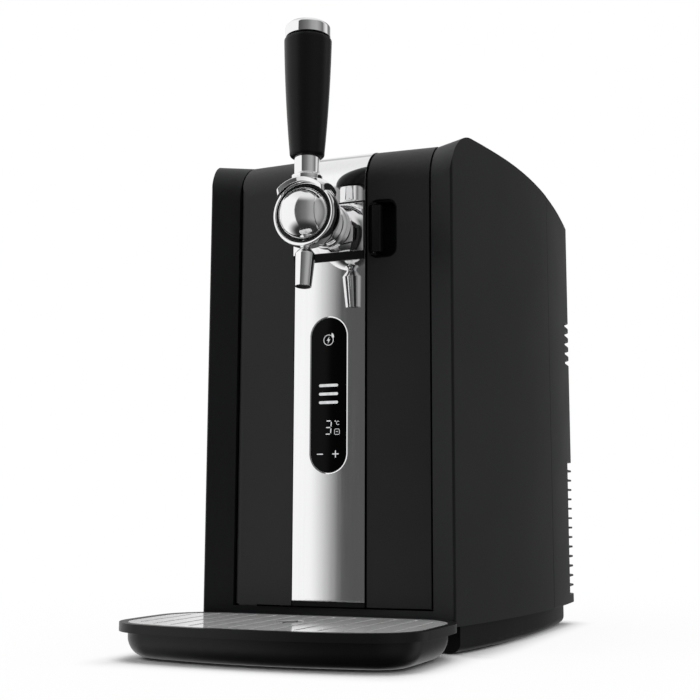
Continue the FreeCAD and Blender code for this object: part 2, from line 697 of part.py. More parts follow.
def basePlan(name, inset, low, high):
    # The base's plan, with its own bulge: level with the housing in front, behind it at the back.
    widest = depth(baseWidestDepth)
    block = box(name + "Block", (-bodyWidth, bodyWidth),
                (depth(baseFront + inset), depth(bodyDepth - baseInset - inset)), (low, high))
    whole = common(name + "Whole", [
        cylinder(name + "Right", baseRadius - inset, high - low, (baseCentre, widest, low)),
        cylinder(name + "Left", baseRadius - inset, high - low, (-baseCentre, widest, low)),
        block,
    ])
    return rearCorners(name + "Corners", whole)


def rearCorners(name, whole):
    return rounded(name, whole, cornerRound, lambda edge: upright(edge) and edge.BoundBox.YMin > 0)


def deckPlate(front):
    # The deck stands inside the housing and follows its walls.
    inset = shellWall + fitGap
    high = deckHeight - bodyFloor
    middle = depth(widestDepth)
    return rearCorners("deck", common("deckWhole", [
        cylinder("deckRight", sideRadius - inset, high, (sideCentre, middle, bodyFloor)),
        cylinder("deckLeft", sideRadius - inset, high, (-sideCentre, middle, bodyFloor)),
        box("deckBlock", (-bodyWidth, bodyWidth), (depth(front), depth(bodyDepth - inset)),
            (bodyFloor, deckHeight)),
    ]))


def softUnder(name, solid, radius, low):
    # The lower edge is rounded along the sides and the back, and square in front.
    return rounded(name, solid, radius,
                   lambda edge: edge.BoundBox.ZMax < float(low) + 0.01 and edge.BoundBox.YMax > 0)


def base():
    deckFront = wingSlope + shellWall + fitGap
    floorTop = baseBottom + baseWall
    skirt = softUnder("skirt", basePlan("skirtPlan", 0, baseBottom, bodyFloor), baseRound, baseBottom)
    hollow = softUnder("skirtHollow", basePlan("hollowPlan", baseWall, floorTop, bodyFloor - baseWall),
                       baseRound - baseWall, floorTop)
    mouth = basePlan("skirtMouth", baseRound + baseWall, baseBottom - 1, floorTop + 1)
    sill = box("sill", (-flangeEdge, flangeEdge), (depth(deckFront), depth(flangeDepth)),
               (bodyFloor, doorBottom - doorGap))
    bosses = []
    for index, (x, y) in enumerate(footPlaces()):
        bosses.append(cylinder(f"footBoss{index}", footRadius + 2, bodyFloor - footHeight,
                               (x, y, footHeight)))
    tongues = []
    for index, x in enumerate((-tongueSpread, tongueSpread)):
        tongues.append(box(f"tongue{index}", (x - tongueWidth / 2, x + tongueWidth / 2),
                           (depth(-tongueReach), depth(baseFront + baseWall)),
                           (bowlBottom + tongueRise, bowlBottom + tongueRise + tongueHeight)))
    skirtShell = cut("skirtShell", skirt, [hollow, mouth])
    node("base", fuse("baseWhole", [skirtShell, deckPlate(deckFront), sill] + bosses + tongues))
    feet = [cylinder(f"foot{index}", footRadius, footHeight, (x, y, 0))
            for index, (x, y) in enumerate(footPlaces())]
    group = doc.addObject("Part::Compound", "feet")
    group.Links = feet
    node("rubber_feet", group)


def footPlaces():
    front = depth(footInset)
    back = depth(bodyDepth - footInset)
    return [(-footSpread, front), (footSpread, front), (-footSpread, back), (footSpread, back)]


# ---------------------------------------------------------------- keg chamber

def tunnel(name, radius, front, low, high):
    return fuse(name, [
        box(name + "Straight", (-radius, radius), (depth(front), depth(chamberCentre)), (low, high)),
        cylinder(name + "Round", radius, high - low, (0, depth(chamberCentre), low)),
    ])


def chamber():
    outerRadius = chamberRadius + chamberWall
    flange = box("flange", (-flangeEdge, flangeEdge), (depth(flangeDepth), depth(flangeDepth + flangeThick)),
                 (doorBottom - doorGap + fitGap, bodyTop - flangeDrop))
    outer = tunnel("chamberOuter", outerRadius, flangeDepth, chamberFloor - chamberWall,
                   chamberTop + chamberWall)
    flat = box("chamberPad", (-padHalf, padHalf), (depth(chamberCentre), depth(padBack)),
               (coolerHeight - padHalf, coolerHeight + padHalf))
    inner = tunnel("chamberInner", chamberRadius, flangeDepth - 1, chamberFloor, chamberTop)
    node("keg_chamber", cut("kegChamber", fuse("chamberSolid", [flange, outer, flat]), [inner]))

    block = box("foamBlock", (-foamHalfWidth, foamHalfWidth), (depth(foamFront + fitGap), depth(foamBack)),
                (deckHeight, foamTop))
    cavity = tunnel("foamCavity", outerRadius + fitGap / 2, flangeDepth, chamberFloor - chamberWall,
                    chamberTop + chamberWall + fitGap / 2)
    windowHalf = padHalf + fitGap / 2
    window = box("foamWindow", (-windowHalf, windowHalf), (depth(chamberCentre), depth(foamBack + 1)),
                 (coolerHeight - windowHalf, coolerHeight + windowHalf))
    node("chamber_insulation", cut("chamberInsulation", block, [cavity, window]))

    seatRadius = chamberRadius - seatGap
    seatTop = chamberFloor + seatThick
    ringTop = seatTop + seatRing
    middle = depth(chamberCentre)
    plate = cylinder("kegPlate", seatRadius, seatThick, (0, middle, chamberFloor))
    ring = cylinder("kegRing", seatRadius, seatThick + seatRing, (0, middle, chamberFloor))
    ringHole = cylinder("kegRingHole", seatRadius - seatRingWidth, seatRing + 1, (0, middle, seatTop))
    ringFront = box("kegRingFront", (-chamberRadius, chamberRadius), (depth(flangeDepth), middle),
                    (seatTop, ringTop + 1))
    node("keg_seat", cut("kegSeat", fuse("kegSeatSolid", [plate, ring]), [ringHole, ringFront]))
    bodyLow = chamberTop - couplerHeight
    noseLow = bodyLow - noseLength
    coupler = fuse("couplerSolid", [
        cylinder("couplerBody", couplerRadius, couplerHeight, (0, middle, bodyLow)),
        cylinder("couplerNose", noseRadius, noseLength, (0, middle, noseLow)),
    ])
    bore = cylinder("couplerBore", noseBore, couplerHeight + noseLength + 2, (0, middle, noseLow - 1))
    node("keg_coupler", cut("kegCoupler", coupler, [bore]))


# ---------------------------------------------------------------- cooling and electrics

def cooling():
    peltierFront = padBack + coldThick
    node("cold_plate", box("coldPlate", (-coldHalf, coldHalf), (depth(padBack), depth(peltierFront)),
                           (coolerHeight - coldHalf, coolerHeight + coldHalf)))
    sinkFront = foamBack
    node("cooling_module", box("coolingModule", (-peltierHalf, peltierHalf),
                               (depth(peltierFront), depth(sinkFront)),
                               (coolerHeight - peltierHalf, coolerHeight + peltierHalf)))
    sink = doc.addObject("PartDesign::Body", "heatSink")
    plate = bodySketch(sink, "sinkPlateOutline", rectangle((-sinkHalf, sinkHalf), (-sinkHalf, sinkHalf)))
    pad(sink, plate, sinkPlate)
    firstFin = 0 - finPitch * (FINS - 1) / 2
    fin = bodySketch(sink, "finOutline",
                     rectangle((firstFin - finThick / 2, firstFin + finThick / 2), (-sinkHalf, sinkHalf)),
                     height=sinkPlate)
    finPad = pad(sink, fin, finHeight)
    row = sink.newObject("PartDesign::LinearPattern", "finRow")
    row.Originals = [finPad]
    row.Direction = (fin, ["H_Axis"])
    tie(row, Length=finPitch * (FINS - 1))
    row.Occurrences = FINS
    sink.Tip = row
    sink.Placement = Placement(Vector(), TURNS["Y"])
    tie(sink, x=0, y=depth(sinkFront), z=coolerHeight)
    node("heat_sink", sink)
    fan(sinkFront + sinkPlate + finHeight)
    electrics()


def fan(front):
    back = front + fanDepth
    frame = box("fanBlock", (-fanHalf, fanHalf), (depth(front), depth(back)),
                (coolerHeight - fanHalf, coolerHeight + fanHalf))
    hole = cylinder("fanHole", fanBore, fanDepth + 2, (0, depth(front - 1), coolerHeight), "Y")
    strutFront = back - motorThick
    reach = (fanHalf + fanBore) / 2
    struts = [
        box("fanStrutAcross", (-reach, reach), (depth(strutFront), depth(back)),
            (coolerHeight - strutHalf, coolerHeight + strutHalf)),
        box("fanStrutUp", (-strutHalf, strutHalf), (depth(strutFront), depth(back)),
            (coolerHeight - reach, coolerHeight + reach)),
        cylinder("fanMotor", hubRadius, motorThick, (0, depth(strutFront), coolerHeight), "Y"),
        cylinder("fanShaft", fanShaftRadius, fanDepth - rotorGap - motorThick,
                 (0, depth(front + rotorGap), coolerHeight), "Y"),
    ]
    node("fan_frame", fuse("fanFrame", [cut("fanRing", frame, [hole])] + struts))

    rotor = doc.addObject("PartDesign::Body", "fanRotor")
    hub = bodySketch(rotor, "rotorHub", circle=(hubRadius - fitGap, 0, 0))
    length = fanDepth - rotorGap - motorThick - 1
    pad(rotor, hub, length)
    tipStart = bladeRadius - bladeTip
    blade = bodySketch(rotor, "rotorBlade", [
        (0, -bladeRoot),
        (tipStart, bladeSweep),
        (tipStart - 1, bladeSweep + bladeTip),
        (0, bladeRoot),
    ], height=bladeTip)
    bladePad = pad(rotor, blade, length - 2 * bladeTip)
    turn = rotor.newObject("PartDesign::PolarPattern", "rotorBlades")
    turn.Originals = [bladePad]
    turn.Axis = (hub, ["N_Axis"])
    turn.Angle = 360
    turn.Occurrences = BLADES
    rotor.Tip = turn
    doc.recompute()
    bore = bodySketch(rotor, "rotorBore", circle=(fanShaftRadius + runGap, 0, 0))
    pocket(rotor, bore, length + 1)
    rotor.Placement = Placement(Vector(), TURNS["Y"])
    tie(rotor, x=0, y=depth(front + rotorGap), z=coolerHeight)
    node("fan_impeller", rotor)


def electrics():
    back = bodyDepth - electricsBack
    supplyLeft = supplySide - bodyWidth / 2
    supplyFront = back - supplyDeep
    case = box("supplyCase", (supplyLeft, supplyLeft + supplyWidth), (depth(supplyFront), depth(back)),
               (deckHeight, deckHeight + supplyHeight))
    coilRight = supplyLeft + supplyWidth - pumpFootThick
    coilFront = supplyFront + (supplyDeep - coilDeep) / 2
    coil = box("supplyCoil", (coilRight - coilWidth, coilRight),
               (depth(coilFront), depth(coilFront + coilDeep)),
               (deckHeight + supplyHeight, deckHeight + supplyHeight + coilHeight))
    node("power_supply", fuse("powerSupply", [case, coil]))

    pumpRight = bodyWidth / 2 - pumpSide
    pumpLeft = pumpRight - pumpWidth
    pumpMiddle = back - pumpDeep / 2 - pumpFootThick / 2
    pumpFloor = deckHeight + pumpFootThick
    headLeft = pumpRight - pumpHeadWidth
    headTop = pumpFloor + 2 * pumpRadius
    headHalf = pumpRadius + pumpSink
    node("air_pump", fuse("pumpSolid", [
        box("pumpFoot", (pumpLeft, pumpRight),
            (depth(pumpMiddle - pumpDeep / 2), depth(pumpMiddle + pumpDeep / 2)), (deckHeight, pumpFloor)),
        cylinder("pumpMotor", pumpRadius, headLeft - pumpLeft,
                 (pumpLeft, depth(pumpMiddle), pumpFloor + pumpRadius - pumpSink), "X"),
        box("pumpHead", (headLeft, pumpRight),
            (depth(pumpMiddle - headHalf), depth(pumpMiddle + headHalf)), (pumpFloor, headTop)),
        cylinder("pumpNozzle", nozzleRadius, nozzleLength,
                 (headLeft + pumpHeadWidth / 2, depth(pumpMiddle), headTop)),
    ]))

    boardMiddle = chamberCentre + boardBack
    boardLow = foamTop + postHeight
    board = box("controlPlate", (-boardHalfWidth, boardHalfWidth),
                (depth(boardMiddle - boardHalfDeep), depth(boardMiddle + boardHalfDeep)),
                (boardLow, boardLow + boardThick))
    acrossPost = boardHalfWidth - postInset
    alongPost = boardHalfDeep - postInset
    corners = [(x, y) for x in (-acrossPost, acrossPost) for y in (-alongPost, alongPost)]
    posts = [cylinder(f"controlPost{index}", postRadius, postHeight, (x, depth(boardMiddle + y), foamTop))
             for index, (x, y) in enumerate(corners)]
    node("control_board", fuse("controlBoard", [board] + posts))

    left = inletOffset - inletHalfWidth
    right = inletOffset + inletHalfWidth
    inlet = box("inletBlock", (left, right), (depth(bodyDepth - inletDepth), backY),
                (inletLow, inletLow + inletHeight))
    socketFloor = bodyDepth - inletDepth + 2 * inletWall
    socket = box("inletSocket", (left + inletWall, right - inletWall),
                 (depth(socketFloor), depth(bodyDepth + 1)),
                 (inletLow + inletWall, inletLow + inletHeight - inletWall))
    pinHalfWidth = inletWall * 0.6
    pinHalfHeight = inletWall * 0.33
    middle = inletLow + inletHeight / 2
    spread = inletHalfWidth / 2
    pinPlaces = [(inletOffset - spread, middle), (inletOffset + spread, middle),
                 (inletOffset, middle + inletHeight / 5)]
    pins = [box(f"inletPin{index}", (x - pinHalfWidth, x + pinHalfWidth),
                (depth(socketFloor - 1), depth(bodyDepth - inletWall)),
                (z - pinHalfHeight, z + pinHalfHeight))
            for index, (x, z) in enumerate(pinPlaces)]
    node("mains_inlet", fuse("mainsInlet", [cut("inletBody", inlet, [socket])] + pins))


# ---------------------------------------------------------------- door

def doorPlan():
    # Everything of the door lies inside this plan, so that it clears both jambs as it turns.
    corner = 4
    rearRun = doorBackDepth - hingeDepth
    rearEdge = hingeX + root(doorReach * doorReach - rearRun * rearRun)
    return extruded("doorPlan", "XY", [
        (-doorEdge, depth(doorBackDepth)),
        (-doorEdge, depth(wingSlope + corner)),
        (corner - doorEdge, depth(wingSlope), corner, 1),
        (-stripHalf, depth(0)),
        (stripHalf, depth(0)),
        (doorEdge, depth(wingSlope)),
        (doorEdge, depth(hingeDepth)),
        (rearEdge, depth(doorBackDepth), doorReach, 1),
    ], doorBottom, bodyTop + 1)


def skinProfile(front, thick, low):
    # An upright skin that turns over the top towards the back.
    inner = doorTurn - thick
    rear = front + doorTurn + doorBackDepth
    return [
        (depth(front), low),
        (depth(front + thick), low),
        (depth(front + thick), bodyTop - doorTurn),
        (depth(front + doorTurn), bodyTop - thick, inner, -1),
        (depth(rear), bodyTop - thick),
        (depth(rear), bodyTop),
        (depth(front + doorTurn), bodyTop),
        (depth(front), bodyTop - doorTurn, doorTurn, 1),
    ]


def doorSkins(plan):
    slope = math.atan2(float(wingSlope - panelInnerDepth), float(doorEdge - stripHalf))
    run = Vector(math.cos(slope), math.sin(slope), 0)
    edge = stripHalf + stripSideGap
    full = extruded("panelRightFull", "YZ", skinProfile(panelInnerDepth, panelSkin, doorBottom),
                    edge, doorEdge + 4, run)
    leftFull = mirrored("panelLeftFull", full)
    panRecess = recessBlock("panelRecessCut", panelInnerDepth - 5, panelInnerDepth + 9, 0)
    node("door_panel_right", cut("doorPanelRight", common("panelRightTrim", [full, plan]), [panRecess]))
    node("door_panel_left", common("doorPanelLeft", [leftFull, plan]))

    strip = extruded("stripFull", "YZ", skinProfile(stripDepth, stripSkin, stripBottom),
                     -stripHalf, stripHalf)
    window = capsule("displayWindow", displayHalf - rimWidth, displayLow + rimWidth, displayHigh - rimWidth,
                     depth(stripDepth - 3), depth(stripDepth + 6))
    hole = cylinder("stripShankHole", shankRadius + runGap, 20, (0, depth(0), tapHeight), "Y")
    node("front_strip", cut("frontStrip", common("stripTrim", [strip, plan]), [window, hole]))


def recessBlock(name, front, back, grow):
    block = box(name + "Block", (recessLeft - grow, recessRight + grow), (depth(front), depth(back)),
                (bandLow - ledgeDrop - grow, bandHigh + seamRise + grow))
    return rounded(name, block, recessRound, lambda edge: edge.BoundBox.YLength > 1)


def doorPan(plan):
    side = doorEdge - panSide
    panLow = doorBottom + panGap
    shell = box("panShell", (-side, side), (depth(panFrontDepth), depth(panBackDepth)), (panLow, panTop))
    cavity = box("panCavity", (hingePost + panWall - doorEdge, side - panWall),
                 (depth(panFrontDepth + panWall), depth(panBackDepth + 1)),
                 (panLow + panWall, panTop - panWall))
    rib = box("panRib", (-stripHalf + panSide, stripHalf - panSide),
              (depth(stripDepth + stripSkin + fitGap / 2), depth(panFrontDepth + 1)),
              (panLow, bodyTop - doorTurn - panGap))
    screen = capsule("panScreen", displayHalf + 1, displayLow - 1, displayHigh + 1,
                     depth(stripDepth), depth(panFrontDepth + panWall + 1))
    shankHole = cylinder("panShankHole", shankRadius + runGap, bodyDepth, (0, depth(0), tapHeight), "Y")
    recess = recessBlock("panRecess", panelInnerDepth, panBackDepth + 5, 0.1)
    boreLength = hingePinLength + 2 * fitGap
    boreLows = (doorBottom + panGap - fitGap, panTop - hingePinLength - fitGap)
    bores = [cylinder(f"hingeBore{index}", hingePinRadius + runGap, boreLength,
                      (hingeX, depth(hingeDepth), low)) for index, low in enumerate(boreLows)]
    toe = box("panToe", (-stripHalf, stripHalf), (depth(stripDepth + toeRecess), depth(panFrontDepth + 1)),
              (doorBottom, stripBottom - fitGap))
    solid = fuse("panSolid", [cut("panTray", shell, [cavity]), rib, toe])
    wallRound = common("panTrim", [solid, plan])
    node("door_pan", cut("doorPan", wallRound, [screen, shankHole, recess] + bores))

    hair = fitGap / 2
    foam = box("doorFoamBlock", (hingePost + panWall - doorEdge + hair, side - panWall - hair),
               (depth(panFrontDepth + panWall + hair), depth(panBackDepth - hair)),
               (panLow + panWall + hair, panTop - panWall - hair))
    foamRecess = recessBlock("foamRecess", panelInnerDepth, panBackDepth + 5, fitGap)
    foamScreen = capsule("foamScreen", displayHalf + 1, displayLow - 1, displayHigh + 1,
                         depth(stripDepth), depth(panFrontDepth + panWall + 1))
    foamHole = cylinder("foamShankHole", shankRadius + hair, bodyDepth, (0, depth(0), tapHeight), "Y")
    node("door_insulation", cut("doorInsulation", foam, [foamRecess, foamScreen, foamHole]))

    liner = box("linerPlate", (-side, side), (depth(panBackDepth), depth(panBackDepth + linerThick)),
                (panLow, panTop))
    linerTrim = common("linerTrim", [liner, plan])
    linerHole = cylinder("linerShankHole", shankRadius + runGap, bodyDepth, (0, depth(0), tapHeight), "Y")
    node("door_liner", cut("doorLiner", linerTrim, [linerHole]))

    sealFront = panBackDepth + linerThick
    sealOuter = box("sealOuter", (-chamberRadius - 1 - gasketWidth, chamberRadius + 1 + gasketWidth),
                    (depth(sealFront), depth(sealFront + gasketThick)),
                    (chamberFloor - 3 - gasketWidth, chamberTop + 3 + gasketWidth))
    sealInner = box("sealInner", (-chamberRadius - 1, chamberRadius + 1),
                    (depth(sealFront - 1), depth(sealFront + gasketThick + 1)),
                    (chamberFloor - 3, chamberTop + 3))
    node("door_gasket", cut("doorGasket", sealOuter, [sealInner]))


def hinges():
    # Each bracket carries one pin; the lower one stands on the sill, the upper one on the flange.
    knuckle = hingePinRadius + fitGap
    lowFront = hingeDepth - knuckle
    node("hinge_lower", fuse("hingeLowSolid", [
        box("hingeLowPlate", (hingeX - knuckle, hingeX + hingeWidth),
            (depth(lowFront), depth(lowFront + hingeWidth)), (doorBottom - doorGap, doorBottom)),
        cylinder("hingeLowPin", hingePinRadius, panGap + hingePinLength,
                 (hingeX, depth(hingeDepth), doorBottom)),
    ]))
    plateLow = panTop + 1
    node("hinge_upper", fuse("hingeHighSolid", [
        cylinder("hingeHighKnuckle", knuckle, hingePlate, (hingeX, depth(hingeDepth), plateLow)),
        box("hingeHighPlate", (hingeX, hingeX + hingeWidth), (depth(lowFront), depth(flangeDepth)),
            (plateLow, plateLow + hingePlate)),
        cylinder("hingeHighPin", hingePinRadius, hingePinLength + 1,
                 (hingeX, depth(hingeDepth), panTop - hingePinLength)),
    ]))


def display():
    rimOuter = capsule("rimOuter", displayHalf, displayLow, displayHigh,
                       depth(stripDepth - rimProud), depth(stripDepth))
    rimInner = capsule("rimInner", displayHalf - rimWidth, displayLow + rimWidth, displayHigh - rimWidth,
                       depth(stripDepth - 2), depth(stripDepth + 2))
    node("display_rim", cut("displayRim", rimOuter, [rimInner]))
    edge = rimWidth + runGap
    node("display_window", capsule("displayGlass", displayHalf - edge, displayLow + edge, displayHigh - edge,
                                   depth(stripDepth - 0.2), depth(stripDepth + windowThick)))
    boardFront = stripDepth + windowThick
    node("display_board", box("displayBoard", (-screenHalf, screenHalf),
                              (depth(boardFront), depth(boardFront + boardThick)),
                              (displayLow + screenEnd, displayHigh - screenEnd)))


def bandPlate():
    # The black carrier shows as a ledge below the steel plate and as a seam above it.
    back = stripDepth
    carrier = extruded("bandCarrierFull", "YZ", [
        (depth(back), bandLow - ledgeDrop),
        (depth(back), bandHigh + seamRise),
        (depth(back - 1), bandHigh + seamRise),
        (depth(back - 1), bandHigh + 0.2),
        (depth(bandFront + bandSkin), bandHigh),
        (depth(bandFront + bandSkin), bandLow),
        (depth(bandFront), bandLow),
        (depth(back - 1.2), bandLow - ledgeDrop),
    ], -stripHalf, stripHalf)
    hole = cylinder("carrierHole", shankRadius + runGap, 20, (0, depth(0), tapHeight), "Y")
    node("band_carrier", cut("bandCarrier", carrier, [hole]))
    plate = box("bandPlateFull", (-stripHalf, stripHalf), (depth(bandFront), depth(bandFront + bandSkin)),
                (bandLow, bandHigh))
    plateHole = cylinder("plateHole", shankRadius + runGap, 20, (0, depth(0), tapHeight), "Y")
    node("band_plate", cut("bandPlate", plate, [plateHole]))


def releaseGrip():
    low = bandLow - ledgeDrop
    high = bandHigh + seamRise
    cup = recessBlock("cupOuter", cupFront, recessBack, 0)
    pinX = releaseLeft + releasePinInset
    pinDepth = releaseFront + releaseThick / 2
    gripLow = low + releaseMargin
    gripHigh = high - releaseMargin
    earGap = 2 * fitGap
    ears = [box(name, (recessLeft, pinX + earHalf), (depth(pinDepth - earHalf), depth(recessBack)),
                (start, start + earThick))
            for name, start in (("pinEarLow", gripLow - earThick - earGap),
                                ("pinEarHigh", gripHigh + earGap))]
    earLimit = recessBlock("earLimit", releaseFront, recessBack, -fitGap)
    earPair = common("pinEars", [fuse("pinEarPair", ears), earLimit])
    pinBore = cylinder("earBore", releasePinRadius + runGap, high - low, (pinX, depth(pinDepth), low))
    lined = fuse("recessLined", [cut("recessShell", cup, [recessHollow()]), earPair])
    node("recess_cup", cut("recessCup", lined, [pinBore]))
    bar = box("releaseBar", (releaseLeft, releaseRight),
              (depth(releaseFront), depth(releaseFront + releaseThick)), (gripLow, gripHigh))
    soft = rounded("releaseSoft", bar, releaseRound, upright)
    bore = cylinder("releaseBore", releasePinRadius + runGap, high - low, (pinX, depth(pinDepth), low))
    node("release_grip", cut("releaseGrip", soft, [bore]))
    node("release_pin", cylinder("releasePinRod", releasePinRadius,
                                 gripHigh - gripLow + 2 * earThick + earGap,
                                 (pinX, depth(pinDepth), gripLow - earThick - earGap / 2)))


def recessHollow():
    low = bandLow - ledgeDrop
    high = bandHigh + seamRise
    block = box("cupHollowBlock", (recessLeft + recessWall, recessRight - recessWall),
                (depth(panelInnerDepth - 2), depth(recessBack - recessWall)),
                (low + recessWall, high - recessWall))
    return rounded("cupHollow", block, recessRound - recessWall, lambda edge: edge.BoundBox.YLength > 1)


# ---------------------------------------------------------------- tap and lever

def tap():
    # The ball turns with the lever on two trunnions in the sides of its housing; the slot
    # over the top lets the pin between the stem and the ball swing to the front.
    y = depth(tapDepth)
    centre = (0, y, tapHeight)
    face = y - tapFaceOffset
    reach = 2 * tapRadius
    trunnionEnd = ballRadius + trunnionLength
    bearingEnd = trunnionEnd + fitGap
    slotHalf = neckPinRadius + fitGap
    globe = sphere("tapGlobe", tapRadius, centre)
    hollows = [
        box("tapFrontCut", (-reach, reach), (face - reach, face), (tapHeight - reach, tapHeight + reach)),
        sphere("tapPocket", ballRadius + ballGap, centre),
        cylinder("tapShankBore", shankRadius + runGap, reach, centre, "Y"),
        cylinder("tapBearing", trunnionRadius + runGap, 2 * bearingEnd, (-bearingEnd, y, tapHeight), "X"),
        box("tapSlot", (-slotHalf, slotHalf), (face - 1, y + slotHalf), (tapHeight, tapHeight + reach)),
    ]
    node("tap_housing", cut("tapHousing", globe, hollows))
    ball = fuse("ballTurned", [
        sphere("ballSolid", ballRadius, centre),
        cylinder("ballTrunnions", trunnionRadius, 2 * trunnionEnd, (-trunnionEnd, y, tapHeight), "X"),
    ])
    pinHole = cylinder("ballPinHole", neckPinRadius + runGap, reach,
                       (0, y, tapHeight + ballRadius - neckPinLength))
    node("tap_ball", cut("tapBall", ball, [pinHole]))
    neckLength = depth(bandFront) - y
    neck = cone("neckSolid", neckFrontRadius, neckBackRadius, neckLength, (0, y, tapHeight), "Y")
    globeCut = sphere("neckGlobeCut", tapRadius, centre)
    neckHole = cylinder("neckHole", shankRadius + runGap, bodyDepth, (0, y, tapHeight), "Y")
    node("tap_neck", cut("tapNeck", neck, [globeCut, neckHole]))
    shankStart = y + ballRadius + fitGap
    shankEnd = panBackDepth + linerThick + nutThick + tubeEnd
    shank = cylinder("shankSolid", shankRadius, depth(shankEnd) - shankStart,
                     (0, shankStart, tapHeight), "Y")
    shankBoreHole = cylinder("shankBoreHole", shankBore, bodyDepth, (0, y, tapHeight), "Y")
    node("beer_tube", cut("beerTube", shank, [shankBoreHole]))
    nutFront = panBackDepth + linerThick
    nut = extruded("nutSolid", "XZ", hexagon(nutRadius), depth(nutFront), depth(nutFront + nutThick))
    nutHole = cylinder("nutHole", shankRadius + runGap, 30, (0, depth(panBackDepth), tapHeight), "Y")
    node("tap_nut", cut("tapNut", nut, [nutHole]))

    lean = math.radians(float(spoutLean))
    length = (tapHeight - tapRadius + 8 - spoutTip) / math.cos(lean)
    rise = tapHeight - tapRadius + 8
    spoutSolid = cylinder("spoutSolid", spoutRadius, length, (0, y, rise))
    spoutHole = cylinder("spoutHole", spoutBore, length + 2, (0, y, rise))
    for item in (spoutSolid, spoutHole):
        item.Placement.Rotation = Rotation(Vector(1, 0, 0), 180 - float(spoutLean))
    spoutGlobe = sphere("spoutGlobeCut", tapRadius, centre)
    node("spout", cut("spoutTube", spoutSolid, [spoutHole, spoutGlobe]))


def hexagon(radius):
    points = []
    for index in range(6):
        angle = math.radians(60 * index)
        points.append((radius * math.cos(angle), tapHeight + radius * math.sin(angle)))
    return points


def lever():
    y = depth(tapDepth)
    centre = (0, y, tapHeight)
    inside = tapRadius + saddleGap
    outside = inside + saddleThick
    shellOut = sphere("saddleOut", outside, centre)
    shellIn = sphere("saddleIn", inside, centre)
    zone = box("saddleZone", (-saddleHalfWidth, saddleHalfWidth), (y - saddleHalfDepth, y + saddleHalfDepth),
               (tapHeight + tapRadius / 2, tapHeight + tapRadius * 2))
    stem = cylinder("stemSolid", stemRadius, gripBottom - tapHeight - tapRadius + 1.5,
                    (0, y, tapHeight + tapRadius - 1.5))
    stub = cylinder("stemStub", stubRadius, stubLength, (0, y, gripBottom))
    stemCut = sphere("stemGlobeCut", inside, centre)
    pinLow = tapHeight + ballRadius - neckPinLength
    pin = cylinder("stemPin", neckPinRadius, gripBottom - pinLow, (0, y, pinLow))
    saddle = common("saddleShell", [cut("saddleSphere", shellOut, [shellIn]), zone])
    upper = cut("stemTrim", fuse("stemWhole", [stem, stub]), [stemCut])
    node("lever_stem", fuse("leverStem", [saddle, upper, pin]))

    bore = stubRadius + runGap
    gripHeight = gripTop - gripBottom
    grip = turned("leverGrip", [
        (bore, 0),
        (gripNeckRadius - gripRound, 0),
        (gripNeckRadius, gripRound, gripRound, 1),
        (gripTopRadius, gripHeight - gripEdge, gripSwell, 1),
        (gripTopRadius - gripEdge, gripHeight, gripEdge, 1),
        (0, gripHeight),
        (0, stubLength + 1),
        (bore, stubLength + 1),
    ], (0, y, gripBottom))
    node("lever_grip", grip)
    collar = cylinder("collarSolid", collarRadius, collarHeight, (0, y, gripTop))
    node("lever_collar", collar)
    cap = turned("leverCap", [
        (0, 0),
        (capRadius, 0),
        (capRadius, capHeight - capRound),
        (capRadius - capRound, capHeight, capRound, 1),
        (0, capHeight),
    ], (0, y, overallHeight - capHeight))
    node("lever_cap", cap)


# ---------------------------------------------------------------- drip tray

def trayPlan(name, inset, low, high):
    side = traySideRadius - inset
    centreX = trayHalf - traySideRadius
    widest = depth(-trayWidest)
    bowCentre = depth(-trayReach) + trayBowRadius
    back = depth(-trayClear - inset)
    plan = common(name + "Plan", [
        cylinder(name + "Right", side, high - low, (centreX, widest, low)),
        cylinder(name + "Left", side, high - low, (-centreX, widest, low)),
        cylinder(name + "Bow", trayBowRadius - inset, high - low, (0, bowCentre, low)),
        box(name + "Span", (-bodyWidth, bodyWidth), (depth(-trayReach - 5), back), (low, high)),
    ])
    middle = float(depth(-trayReach / 2))
    fronts = rounded(name + "Fronts", plan, trayCorner - inset,
                     lambda edge: upright(edge) and edge.BoundBox.YMin < middle)
    return rounded(name, fronts, trayBackCorner - inset,
                   lambda edge: upright(edge) and edge.BoundBox.YMin > float(back) - 0.5)


